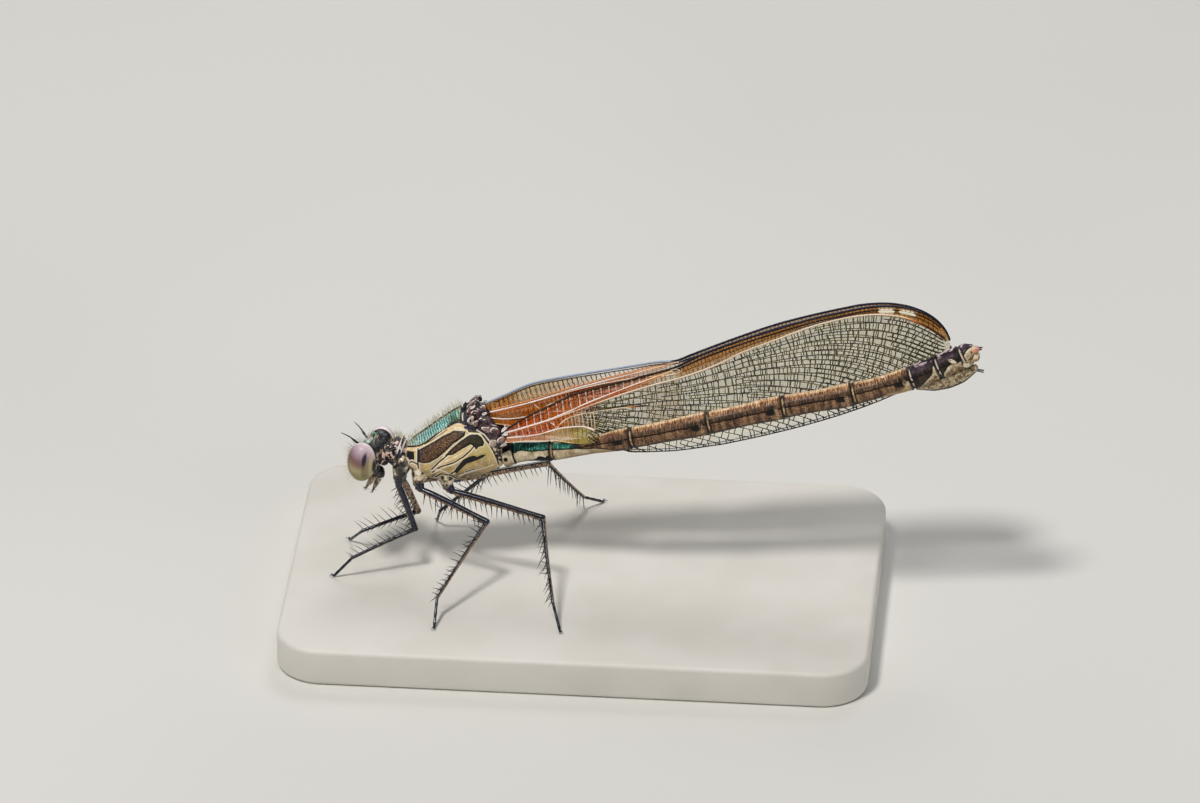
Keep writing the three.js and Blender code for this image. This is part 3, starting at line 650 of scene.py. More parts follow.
def chest_material():
    """A ribbed blue-green panel, speckled brown bands, peach and olive ground, black lines with pale edges,
    and dark mottled lobes in front."""
    finish = Finish("chest_markings")
    look = settings().body
    x, high, teal_mark, groove = (finish.value(name) for name in ("x", "high", "teal", "groove"))
    wobble = (finish.noise(0.22, 2) - 0.5) * 0.07
    fine, coarse = finish.noise(0.07, 3), finish.noise(0.6, 3)
    ground = finish.layers(look.yellow, [
        ("#a5874e", coarse.rise(0.42, 0.62) * 0.8),
        ("#cbb795", finish.noise(0.4, 3).rise(0.46, 0.62) * 0.8),
        ("#e3cf86", x.rise(-8.6, -6.6) * high.rise(1.2, 2.2) * 0.5),
        # Greyer tan low on the rear of the flank: painted shade
        ("#9a8569", high.rise(1.2, 0.5) * x.rise(-8.4, -7.0) * 0.6),
        ("#4d3d28", high.rise(0.7, 0.2) * finish.noise(0.26, 3).rise(0.42, 0.56)),
        ("#6d5a34", fine.rise(0.48, 0.66) * 0.4),
    ])
    pale = finish.colour(look.cream, "#fff0cf", finish.noise(0.3, 2).rise(0.42, 0.62))
    ground = finish.colour(ground, pale, (finish.value("cream") + wobble * 0.5).rise(-0.04, 0.04) * 0.95)
    plate = x.rise(-10.7, -10.8) * high.rise(1.9, 1.5) * high.rise(0.5, 0.8)
    ground = finish.colour(ground, "#e6d0a6", plate * 0.85)
    ground = finish.colour(ground, "#4a3420", finish.value("brown").rise(-0.01, 0.015) * 0.8)
    halo = groove.rise(0.045, 0.07) * groove.rise(0.14, 0.09)
    ground = finish.colour(ground, "#fdf2d8", halo * 0.7)
    speck = finish.noise(0.06, 2, (1.5, 1, 1))
    bronze = finish.ramp(speck, [
        (0.34, "#150c07"), (0.48, look.bronze), (0.58, "#6b4a30"), (0.66, "#cf9c6a")])
    bronze = finish.colour(bronze, "#1d2612", x.rise(-8.4, -7.4) * 0.8)
    bronze = finish.colour(bronze, "#1b1b40", x.rise(-10.3, -10.7) * 0.8)
    band_mark = finish.value("band") + wobble
    bronze = finish.colour(bronze, "#050507", band_mark.rise(0.17, 0.06))
    band = band_mark.rise(-0.01, 0.03)
    coat = finish.colour(ground, "#f5e8c6", band_mark.rise(-0.11, -0.03) * 0.55)
    coat = finish.colour(coat, bronze, band)
    ribs = ((x * 0.93 + high * 0.37) * 36 + finish.noise(0.3, 2) * 12).sine() * 0.5 + 0.5
    depth = teal_mark + wobble
    teal = finish.layers("#b9d8c0", [
        (look.teal, depth.rise(0.0, 0.3)),
        ("#4fa787", x.rise(-9.3, -8.5) * 0.85),
        ("#b4c8b4", x.rise(-10.2, -11.2) * 0.85),
        ("#0f5f6a", ribs.rise(0.3, 0.9) * 0.55),
        # Pale streaks between the ribs: painted glints
        ("#e2f6ea", (ribs * -1 + fine * 1.2).rise(0.2, 0.42) * 0.7),
        ("#2f4426", high.rise(4.35, 3.95) * x.rise(-9.0, -8.6) * 0.8),
    ])
    panel = (teal_mark + wobble * 0.4).rise(-0.01, 0.025)
    coat = finish.colour(coat, teal, panel)
    flesh = finish.colour("#120e16", "#3f2c34", finish.noise(0.25, 3).rise(0.48, 0.62))
    flesh = finish.colour(flesh, "#d8c4a4", finish.noise(0.22, 1).rise(0.55, 0.6) * high.rise(2.9, 2.5))
    coat = finish.colour(coat, flesh, (finish.value("flesh") + wobble * 0.5).rise(-0.01, 0.03))
    front = x.rise(-11.42, -11.58)
    collar = abs(x + 12.02 - (high - 1.9) * 0.34).rise(0.07, 0.035)
    collar = collar.highest(abs(x + 11.76 - (high - 1.9) * 0.3).rise(0.06, 0.03)) * high.rise(1.5, 1.8)
    lobes = finish.layers("#0c0b0e", [
        ("#55505a", finish.noise(0.26, 3).rise(0.46, 0.6)),
        ("#e8c6b0", finish.noise(0.3, 2).rise(0.58, 0.62)),
        ("#f6ece4", finish.noise(0.2, 1).rise(0.66, 0.7)),
        ("#4b9c88", finish.noise(0.25, 1).rise(0.72, 0.76)),
        ("#f7ece6", collar * finish.noise(0.22).rise(0.2, 0.32)),
    ])
    coat = finish.colour(coat, lobes, front)
    ink = (finish.value("ink") + wobble * 0.7).rise(-0.012, 0.02) * (1 - front)
    coat = finish.colour(coat, look.black, ink)
    line = (finish.value("pale") + wobble * 0.4).rise(-0.01, 0.02) * (1 - panel)
    coat = finish.colour(coat, "#efe2d4", line)
    metal = (panel * 0.3).highest(band * 0.1) * (1 - ink)
    gloss = 0.46 - panel * 0.08 + fine * 0.12
    height = ribs * panel * 0.6 + finish.noise(0.09, 3) * 0.6
    return finish.surface(coat, gloss, metal, coat=0.06, bump=(height, 0.03), Specular_IOR_Level=0.4)


# Wing roots: the folded plates between the chest and the wings

# Plates at a wing pair's roots, as a side view shows them: place along the body, out and up, half length,
# half width, turn in degrees, and tone
PLATE_TONE = {"blue": 0.0, "dark": 0.2, "brown": 0.4, "rose": 0.6, "tan": 0.8, "white": 1.0}
PLATES = [
    (-7.39, 0.78, 4.64, 0.37, 0.23, 32, "brown"), (-7.44, 0.7, 5.0, 0.4, 0.1, 46, "rose"),
    (-7.01, 0.7, 5.1, 0.2, 0.2, 10, "dark"), (-7.13, 0.86, 4.5, 0.32, 0.15, 8, "brown"),
    (-6.64, 0.66, 4.77, 0.24, 0.2, 30, "rose"), (-7.26, 0.9, 4.85, 0.23, 0.08, 40, "white"),
    (-7.93, 0.5, 4.58, 0.11, 0.3, -8, "blue"), (-7.93, 0.68, 4.21, 0.06, 0.23, -6, "white"),
    (-7.37, 1.0, 4.01, 0.23, 0.32, -20, "tan"), (-6.78, 1.0, 3.93, 0.26, 0.31, -24, "brown"),
    (-7.05, 1.12, 3.84, 0.2, 0.23, -30, "rose"), (-6.53, 0.8, 4.43, 0.2, 0.1, 24, "white"),
    (-6.45, 0.84, 4.11, 0.17, 0.07, 6, "white"), (-6.34, 1.14, 3.48, 0.35, 0.22, -16, "rose"),
    (-5.83, 1.2, 3.37, 0.4, 0.3, 18, "brown"), (-5.93, 1.1, 3.7, 0.45, 0.13, -12, "brown"),
    (-6.04, 1.3, 3.28, 0.29, 0.12, -34, "dark"), (-5.19, 1.36, 3.57, 0.26, 0.11, 44, "white"),
    (-5.1, 1.36, 3.27, 0.23, 0.11, 16, "white"), (-5.9, 1.12, 2.61, 0.26, 0.34, -30, "tan"),
    (-5.35, 1.2, 2.83, 0.29, 0.26, 20, "rose"), (-5.19, 1.26, 2.52, 0.26, 0.1, 22, "tan"),
    (-5.74, 1.0, 2.14, 0.12, 0.4, 22, "tan"), (-5.59, 1.14, 2.51, 0.11, 0.29, 30, "dark"),
    (-7.62, 0.98, 3.89, 0.13, 0.32, 12, "blue"), (-7.47, 1.06, 3.48, 0.37, 0.12, -14, "blue"),
    (-6.33, 1.0, 3.8, 0.36, 0.1, -22, "dark"),
]
PLATE_DEPTH = 0.1
# How far a plate's middle sinks, and over how much of its reach
PLATE_HOLLOW = (0.9, 0.62)
# The dark flesh that the plates lie on
ROOT_CORE = [
    ((-6.9, 0.45, 4.4), (0.75, 0.42, 0.5)), ((-7.4, 0.7, 3.9), (0.35, 0.34, 0.5)),
    ((-6.4, 0.85, 3.8), (0.6, 0.36, 0.5)), ((-5.85, 0.9, 3.2), (0.5, 0.36, 0.6)),
    ((-5.5, 0.85, 2.5), (0.36, 0.32, 0.6)),
]


def joint_form():
    """Plates over a soft-joined core. A plate is a flat ellipsoid, turned in the side view, whose middle
    sinks by a bell of its distance from the centre. Its rim value is that distance, its lit value the
    cosine from its upper front."""
    polar = np.linspace(0.03, np.pi - 0.03, 22)[:, None]
    angle = circle(36)[None]
    reach = np.sin(polar) + 0 * angle
    depth = np.cos(polar) * (1 - PLATE_HOLLOW[0] * hump(reach, 0, PLATE_HOLLOW[1]))
    forms = []
    for side in SIDES.values():
        core = [(np.array(middle) * [1, side, 1], radii) for middle, radii in ROOT_CORE]
        forms.append(lumps_form(core, around=120, down=90, soften=0.03, reach=2.6))
        for x, out, high, length, width, turn, tone in PLATES:
            c, s = np.cos(degrees(turn)), np.sin(degrees(turn))
            egg = 1 + 0.22 * np.cos(angle)
            wave = reach * (1 + 0.1 * np.sin(3 * angle + 20 * x))
            u, v = length * wave * np.cos(angle), width * wave * np.sin(angle) * egg
            away = side * (out + PLATE_DEPTH * depth)
            rings = np.stack([x + u * c - v * s, away, high + u * s + v * c], -1)
            lit = np.cos(angle + degrees(turn - 125)) * reach
            tones = np.full((1, *reach.shape), PLATE_TONE[tone])
            forms.append(tubes(rings[None], {"rim": reach[None], "lit": lit[None], "tone": tones}))
    return Form.join(forms).moved(body_to_world)


def joint_material():
    """Each plate has a black edge, a painted highlight as a pale crescent on its upper front, painted shade
    on the side away from it, and a darker, mottled middle.
    """
    finish = Finish("wing_root_plates")
    rim, lit, tone = (finish.value(name) for name in ("rim", "lit", "tone"))
    plate = finish.ramp(tone + (finish.noise(0.14, 2) - 0.5) * 0.5, [
        (PLATE_TONE["blue"], "#1c2450"), (PLATE_TONE["dark"], "#2a2024"), (PLATE_TONE["brown"], "#7d5250"),
        (PLATE_TONE["rose"], "#b48a82"), (PLATE_TONE["tan"], "#d2bc9e"), (0.97, "#f4ebe4")])
    # Painted shade: each plate darker on the side away from its upper front
    plate = finish.colour(plate, "#1c1114", lit.rise(0.1, -0.4) * tone.rise(1.0, 0.85) * 0.5)
    flecks = finish.noise(0.12, 2).rise(0.56, 0.62)
    plate = finish.colour(plate, "#140c0e", flecks * tone.rise(0.9, 0.7) * 0.6)
    # Painted highlight: a pale crescent on each plate's upper front
    crescent_highlight = rim.rise(0.56, 0.68) * lit.rise(-0.1, 0.3) * finish.noise(0.3, 1).rise(0.34, 0.44)
    plate = finish.colour(plate, "#fbeee8", crescent_highlight * tone.rise(0.1, 0.3))
    plate = finish.colour(plate, "#08070a", rim.rise(0.87, 0.92))
    core = finish.colour("#140e14", "#6b484a", finish.noise(0.16, 3).rise(0.46, 0.56))
    tone = finish.colour(core, plate, rim.rise(0.0, 0.02))
    return finish.surface(tone, 0.36, coat=0.25, bump=(finish.noise(0.07, 3), 0.02))


# Head

# Lumps of the head and face: centre and radii
HEAD_LUMPS = [
    ((0, 0, 0), (0.7, 1.1, 0.88)), ((-0.05, 0, 0.48), (0.62, 0.72, 0.42)),
    ((-0.46, 0, 0.78), (0.12, 0.13, 0.13)), ((-0.6, 0, 0.22), (0.38, 0.7, 0.42)),
    ((-0.8, 0, -0.28), (0.36, 0.58, 0.27)), ((-0.84, 0, -0.62), (0.28, 0.5, 0.18)),
    ((-0.78, 0, -0.98), (0.32, 0.5, 0.28)), ((0.46, 0, 0.38), (0.3, 0.9, 0.38)),
    ((0.62, 0.0, -0.1), (0.34, 0.4, 0.42)),
] + both_sides([
    ((0.15, 0.42, 0.42), (0.46, 0.4, 0.44)), ((-0.2, 0.28, 0.88), (0.1, 0.1, 0.1)),
    ((-0.56, 0.5, 0.62), (0.2, 0.18, 0.19)), ((-0.42, 0.72, -0.5), (0.4, 0.34, 0.5)),
    ((-0.3, 0.5, -1.02), (0.34, 0.26, 0.36)), ((0.42, 0.95, 0.0), (0.38, 0.46, 0.95)),
    ((0.66, 0.3, -0.3), (0.2, 0.22, 0.24)), ((0.5, 0.75, -0.62), (0.34, 0.36, 0.42)),
])
# An eye: how far out and forward, its radii, its lean in degrees, and the sides and rings of its grid
EYE = {"offset": 1.54, "forward": -0.03, "radii": (0.95, 0.84, 1.31), "lean": 4.0, "grid": (128, 96)}
# Where the dark false pupil and the dull streak below it sit on an eye, as shares of its radii
PUPIL = {"x": 0.46, "up": 0.36, "half_width": 0.14, "half_height": 0.34}
STREAK = {"x": 0.56, "up": -0.25, "half_width": 0.3, "half_height": 0.7}


def head_form():
    """The head's lumps, softly joined. Its values say how far to the front, out and up a point lies."""
    form = lumps_form(HEAD_LUMPS, around=260, down=190, soften=0.045, reach=2.2)
    x, y, z = form.points.T
    form.values.update({"front": -x, "out": np.abs(y), "high": z})
    return form.moved(head_to_world)


def head_material():
    """Black and grey with a few mint glints on the crown, peach patches behind the eyes, a brown face."""
    finish = Finish("head_shell")
    front, out, high = (finish.value(name) for name in ("front", "out", "high"))
    blot = finish.noise(0.26, 2)
    tone = finish.colour("#0b0b0d", "#5a5a62", finish.noise(0.16, 3, (1, 1, 0.5)).rise(0.52, 0.68))
    crown = high.rise(0.2, 0.45) * front.rise(-0.15, 0.1) * finish.noise(0.3, 1).rise(0.5, 0.55)
    tone = finish.colour(tone, "#74b79d", crown)
    cheek = blot.rise(0.49, 0.54) * front.rise(-0.15, -0.4) * high.rise(0.6, 0.3) * high.rise(-0.6, -0.35)
    tone = finish.colour(tone, "#ebc4ac", cheek)
    tone = finish.colour(tone, "#f7e6dc", cheek * finish.noise(0.12, 1).rise(0.52, 0.6))
    face = front.rise(0.35, 0.6) * high.rise(0.25, 0.05)
    face_tone = finish.colour("#b89a6a", "#3a281a", blot.rise(0.4, 0.6))
    tone = finish.colour(tone, face_tone, face * 0.9)
    tone = finish.colour(tone, "#e6e0e6", high.rise(0.84, 0.92) * front.rise(0.0, 0.1))
    socket = (out - 0.5) * (out - 0.5) + (high - 0.72) * (high - 0.72)
    socket = socket.rise(0.05, 0.03) * front.rise(0.5, 0.6)
    tone = finish.colour(tone, "#efe6ee", socket * blot.rise(0.4, 0.5))
    return finish.surface(tone, 0.42, crown * 0.25, coat=0.12, bump=(finish.noise(0.07, 3), 0.03))


def eye_form(side):
    """An ellipsoid leaning about Y. Its values are how far up, to the front and out a point lies, as
    shares of the radii, and its distance from the pupil and the streak, in multiples of their half
    sizes."""
    angle = degrees(EYE["lean"])
    lean = np.array([[np.cos(angle), 0, np.sin(angle)], [0, 1, 0], [-np.sin(angle), 0, np.cos(angle)]])
    centre = np.array([EYE["forward"], side * EYE["offset"], 0])
    ellipsoid = rays(*EYE["grid"], 0.02) * EYE["radii"]
    form = tubes((ellipsoid @ lean.T + centre)[None])
    local = (form.points - centre) @ lean / np.array(EYE["radii"])
    x, out, z = local[:, 0], local[:, 1] * side, local[:, 2]
    form.values.update({"high": z, "front": -x, "out": out})
    for name, mark in (("pupil", PUPIL), ("streak", STREAK)):
        away = np.hypot((x - mark["x"]) / mark["half_width"], (z - mark["up"]) / mark["half_height"])
        form.values[name] = np.where(out > 0, away, 9)
    return form.moved(head_to_world)


def eye_material():
    """Mauve above, brown darkening to the front edge as painted shade, olive below; a soft dark false pupil,
    fine facets. The side that faces the other eye is black horn with mint and pink patches, inside a pale rim
    that is a painted highlight."""
    finish = Finish("eye_facets")
    look = settings().body
    high, front, out = (finish.value(name) for name in ("high", "front", "out"))
    level = high + (finish.noise(0.7, 2) - 0.5) * 0.4 - front * 0.2
    tone = finish.ramp(level * 0.5 + 0.5, [
        (0.04, "#7d6f42"), (0.2, look.eye_low), (0.4, "#b3a47a"), (0.5, "#937a5e"), (0.6, "#7d5a54"),
        (0.74, look.eye_high), (0.93, "#d2b9c4")])
    tone = finish.layers(tone, [
        ("#4f3826", finish.value("streak").rise(1.2, 0.3) * 0.6),
        ("#6f6230", finish.noise(0.5, 2).rise(0.5, 0.7) * high.rise(-0.3, -0.6) * 0.5),
        # Painted shade: brown, then dark brown, towards the eye's front edge
        ("#6b4c34", front.rise(0.25, 0.9) * high.rise(0.85, 0.4) * 0.75),
        ("#3a2412", front.rise(0.75, 0.95) * high.rise(0.9, 0.5) * 0.8),
        ("#a39468", front.rise(-0.35, -0.75) * high.rise(0.75, 0.2) * 0.7),
        ("#16122e", finish.value("pupil").rise(1.35, 0.6) * 0.95),
        ("#efe2b4", front.rise(-0.7, -0.82) * out.rise(0.05, 0.15) * 0.4),
        ("#2a1f18", front.rise(-0.9, -0.95)),
    ])
    cap = (out + front * 0.2).rise(-0.3, -0.36)
    # Painted highlight: a pinkish-white rim along the top of the eye's inner side
    rim = out.rise(0.4, -0.15) * high.rise(0.0, 0.6)
    rim_highlight_tone = finish.colour("#f8eaec", "#b99aa0", front.rise(0.4, 0.75))
    tone = finish.colour(tone, rim_highlight_tone, rim)
    horn = finish.layers("#08090a", [
        ("#6a6c74", finish.noise(0.15, 3, (1, 1, 0.5)).rise(0.52, 0.66)),
        ("#74b79d", finish.noise(0.26, 1).rise(0.48, 0.53) * front.rise(0.0, 0.3)),
        ("#d8b2aa", finish.noise(0.22, 1).rise(0.66, 0.7)),
        ("#08080a", out.rise(-0.44, -0.38)),
    ])
    tone = finish.colour(tone, horn, cap)
    return finish.surface(tone, 0.42 + cap * 0.1, coat=0.12, bump=(finish.cells(0.05), 0.006))


# Antennae

# Places on a feeler in the head's frame, outwards positive, and radii from root to tip
FEELER = {
    "root": (-0.5, 0.5, 0.62), "joint": (-0.86, 0.66, 0.92), "tip": (-1.74, 0.98, 1.5),
    "radii": [0.11, 0.09, 0.065, 0.085, 0.05, 0.04, 0.035, 0.03, 0.02],
}


def feeler_form(side):
    """A stout root joint and a bristle that thins to its tip, along one bent path."""
    joint, tip = np.array(FEELER["joint"]), np.array(FEELER["tip"])
    spots = np.array([FEELER["root"], joint, mix(joint, tip, 0.5) + [0.03, 0, 0.06], tip])
    path = smooth_path(spots * [1, side, 1], 45)
    radii = spread(FEELER["radii"], np.linspace(0, 1, len(path)))
    return limb(path, radii, 12, (0, 1, 0)).moved(head_to_world)


def horn_material(name, tone, light):
    """Dark horn with a faint lighter mottle, for feelers and bristles."""
    finish = Finish(name)
    colour = finish.colour(tone, light, finish.noise(0.15, 3).rise(0.55, 0.75))
    return finish.surface(colour, 0.35, coat=0.3, bump=(finish.noise(0.05, 2), 0.006))


# Mouthparts

# Lumps of the jaws: centre and radii. The palps' paths run from the jaws down, and each has the same radii
MOUTH_LUMPS = [
    ((0.3, 0, -1.2), (0.52, 0.55, 0.4)),
    ((0.05, 0, -1.42), (0.34, 0.4, 0.26)),
    ((0.56, -0.1, -1.32), (0.34, 0.34, 0.34)),
    ((-0.2, 0.3, -1.32), (0.22, 0.2, 0.24)),
    ((-0.2, -0.3, -1.32), (0.22, 0.2, 0.24)),
]
PALP_PATHS = [
    [(0.3, -0.3, -1.2), (0.18, -0.42, -1.6), (0.0, -0.58, -1.92), (-0.14, -0.66, -2.16)],
    [(0.42, 0.34, -1.3), (0.3, 0.3, -1.85), (0.12, 0.2, -2.3), (0.0, 0.12, -2.62)],
]
PALP_RADII = [0.14, 0.2, 0.19, 0.14, 0.06]


def mouth_form():
    """The jaws' block as soft-joined lumps, and on each side a drooping palp that swells and tapers."""
    forms = [lumps_form(MOUTH_LUMPS, around=110, down=80, soften=0.04, reach=1.4)]
    for spots in PALP_PATHS:
        path = smooth_path(spots, 24)
        radii = spread(PALP_RADII, np.linspace(0, 1, len(path)))
        forms.append(limb(path, radii, 18, (0, 1, 0), values={"palp": 1.0}))
    form = Form.join(forms)
    form.values["high"] = form.points[:, 2]
    return form.moved(head_to_world)


def mouth_material():
    finish = Finish("mouthparts_horn")
    tone = finish.colour("#121113", "#56504e", finish.noise(0.25, 3).rise(0.45, 0.65))
    white = finish.noise(0.22, 1).rise(0.58, 0.62) * finish.value("high").rise(-1.3, -1.5)
    tone = finish.colour(tone, "#efe3d2", white)
    palp = finish.layers("#4a3b30", [
        ("#b39a80", finish.noise(0.14, 2, (1, 1, 0.3)).rise(0.42, 0.56)),
        ("#f0dccf", finish.noise(0.14, 1, (1, 1, 0.3)).rise(0.62, 0.66)),
        ("#0f0d0c", finish.value("share").rise(0.78, 0.92)),
    ])
    tone = finish.colour(tone, palp, finish.value("palp"))
    return finish.surface(tone, 0.42, coat=0.15, bump=(finish.noise(0.06, 3), 0.02))


# Abdomen

# Where the abdomen's pale lower side ends, as the cosine from straight up, along its run
CREAM_LEVEL = [
    [0, 0.35], [0.7, 0.4], [0.85, 0.2], [1.15, 0.36], [1.8, 0.24], [2.6, 0.3], [3.1, 0.32], [4.2, 0.22],
    [5.7, -0.1], [7.3, -0.7], [7.9, -1.2], [24.4, -1.2], [25.2, -0.75], [26.5, -0.5], [26.95, -0.1],
    [27.15, -1.0], [27.5, -0.8], [28.1, -0.4], [28.55, 0.0], [28.82, 0.4], [28.98, -0.45], [29.3, -0.3],
    [29.7, 0.0], [30.3, -0.1], [30.6, 0.0], [31.1, 0.5], [31.6, 0.9],
]
# Where the dark wedge at the abdomen's root ends, in the same terms
WEDGE_LEVEL = [
    [0, -1.2], [1.2, -1.05], [2.2, -0.66], [2.6, -0.3], [2.85, -0.48], [3.2, -0.52], [3.3, -1.2],
    [32, -1.2],
]
# A dark spot at the abdomen's root, and the blots before each joint of its middle: place and half size
FLANK_SPOT = {"run": 0.22, "level": -0.24, "half_run": 0.14, "half_level": 0.2}
BLOT = {"past": -0.7, "level": -0.1, "half_past": 0.62, "half_level": 0.34, "reach": 0.7}
ABDOMEN_GRID = {"along": 620, "near_joint": 17, "reach": 0.32, "around": 80}
ABDOMEN_START = np.array([-5.25, 0, 1.57])
# Each segment's length, rise and swing in degrees, and radius at its start, middle and end
SEGMENTS = [
    (0.75, 16.6, 6.4, (0.78, 0.74, 0.68)),
    (2.48, 7.7, 9.8, (0.66, 0.6, 0.62)),
    (5.36, 13.7, 9.4, (0.6, 0.55, 0.7)),
    (5.09, 14.1, 1.7, (0.68, 0.7, 0.76)),
    (4.94, 14.8, 0, (0.74, 0.72, 0.77)),
    (4.58, 13.3, 0, (0.74, 0.7, 0.76)),
    (3.87, 18.2, 0, (0.72, 0.68, 0.76)),
    (1.85, 23.2, 0, (0.76, 0.78, 0.8)),
    (1.7, 27.5, 0, (0.8, 0.8, 0.76)),
    (0.92, 27.7, 0, (0.74, 0.72, 0.5)),
]
# The raised lip before each joint, and the groove at it
LIP = {"width": 0.1, "height": 0.035}
JOINT_GROOVE = {"width": 0.05, "depth": 0.06}


def heading(rise, swing):
    """The direction that rises and swings out by so many degrees from straight back."""
    rise, swing = degrees(rise), degrees(swing)
    return np.array([np.cos(rise) * np.cos(swing), -np.cos(rise) * np.sin(swing), np.sin(rise)])


def abdomen_axis():
    """The joints' places, by adding each segment's heading times its length, and the run up to each."""
    joints = [ABDOMEN_START]
    for length, rise, swing, _ in SEGMENTS:
        joints.append(joints[-1] + length * heading(rise, swing))
    lengths = [segment[0] for segment in SEGMENTS]
    return np.array(joints), np.concatenate([[0], np.cumsum(lengths)])


JOINTS, RUNS = abdomen_axis()
TAIL_END = JOINTS[-1]


def abdomen_radius(run):
    """Smooth through each segment's radii, with a raised lip before each joint and a groove at it."""
    rows = []
    for start, (length, _, _, radii) in zip(RUNS, SEGMENTS):
        rows += [[start + share * length, radius] for share, radius in zip((0.06, 0.5, 0.93), radii)]
    radius = through(rows)(run)
    for joint in RUNS[1:-1]:
        radius = radius + LIP["height"] * hump(run, joint - LIP["width"] * 1.2, LIP["width"])
        radius = radius - JOINT_GROOVE["depth"] * hump(run, joint + 0.02, JOINT_GROOVE["width"])
    return radius


def abdomen_form():
    """A round tube along the smooth axis. Its values say how far up the flank a point is, its run, how far
    past the nearest joint it is, and how far inside the pale side and the dark marks."""
    reach, around = ABDOMEN_GRID["reach"], ABDOMEN_GRID["around"]
    spaced = np.linspace(0, RUNS[-1], ABDOMEN_GRID["along"])
    near = (RUNS[1:-1, None] + np.linspace(-reach, reach, ABDOMEN_GRID["near_joint"])).ravel()
    run = np.unique(np.round(np.concatenate([spaced, near]), 4))
    path = through(np.column_stack([RUNS, JOINTS]))(run)
    gap = run[:, None] - RUNS[1:-1]
    past = np.take_along_axis(gap, np.abs(gap).argmin(1)[:, None], 1)
    level = np.cos(circle(around))[None]
    run_grid, past = run[:, None] + 0 * level, past + 0 * level
    spot = 1 - np.hypot((run_grid - FLANK_SPOT["run"]) / FLANK_SPOT["half_run"],
                        (level - FLANK_SPOT["level"]) / FLANK_SPOT["half_level"])
    blots = BLOT["reach"] - np.hypot((past - BLOT["past"]) / BLOT["half_past"],
                                     (level - BLOT["level"]) / BLOT["half_level"])
    middle = (run_grid > RUNS[3] - 1.5) & (run_grid < RUNS[7])
    dark = np.maximum(spot, (through(WEDGE_LEVEL)(run)[:, None] - level) * 4)
    values = {"run": run_grid, "past": past, "cream": through(CREAM_LEVEL)(run)[:, None] - level,
              "dark": np.clip(np.maximum(dark, np.where(middle, blots, -1)), -1, 1)}
    form = limb(path, abdomen_radius(run), around, domed=False, values=values)
    return form.moved(body_to_world)


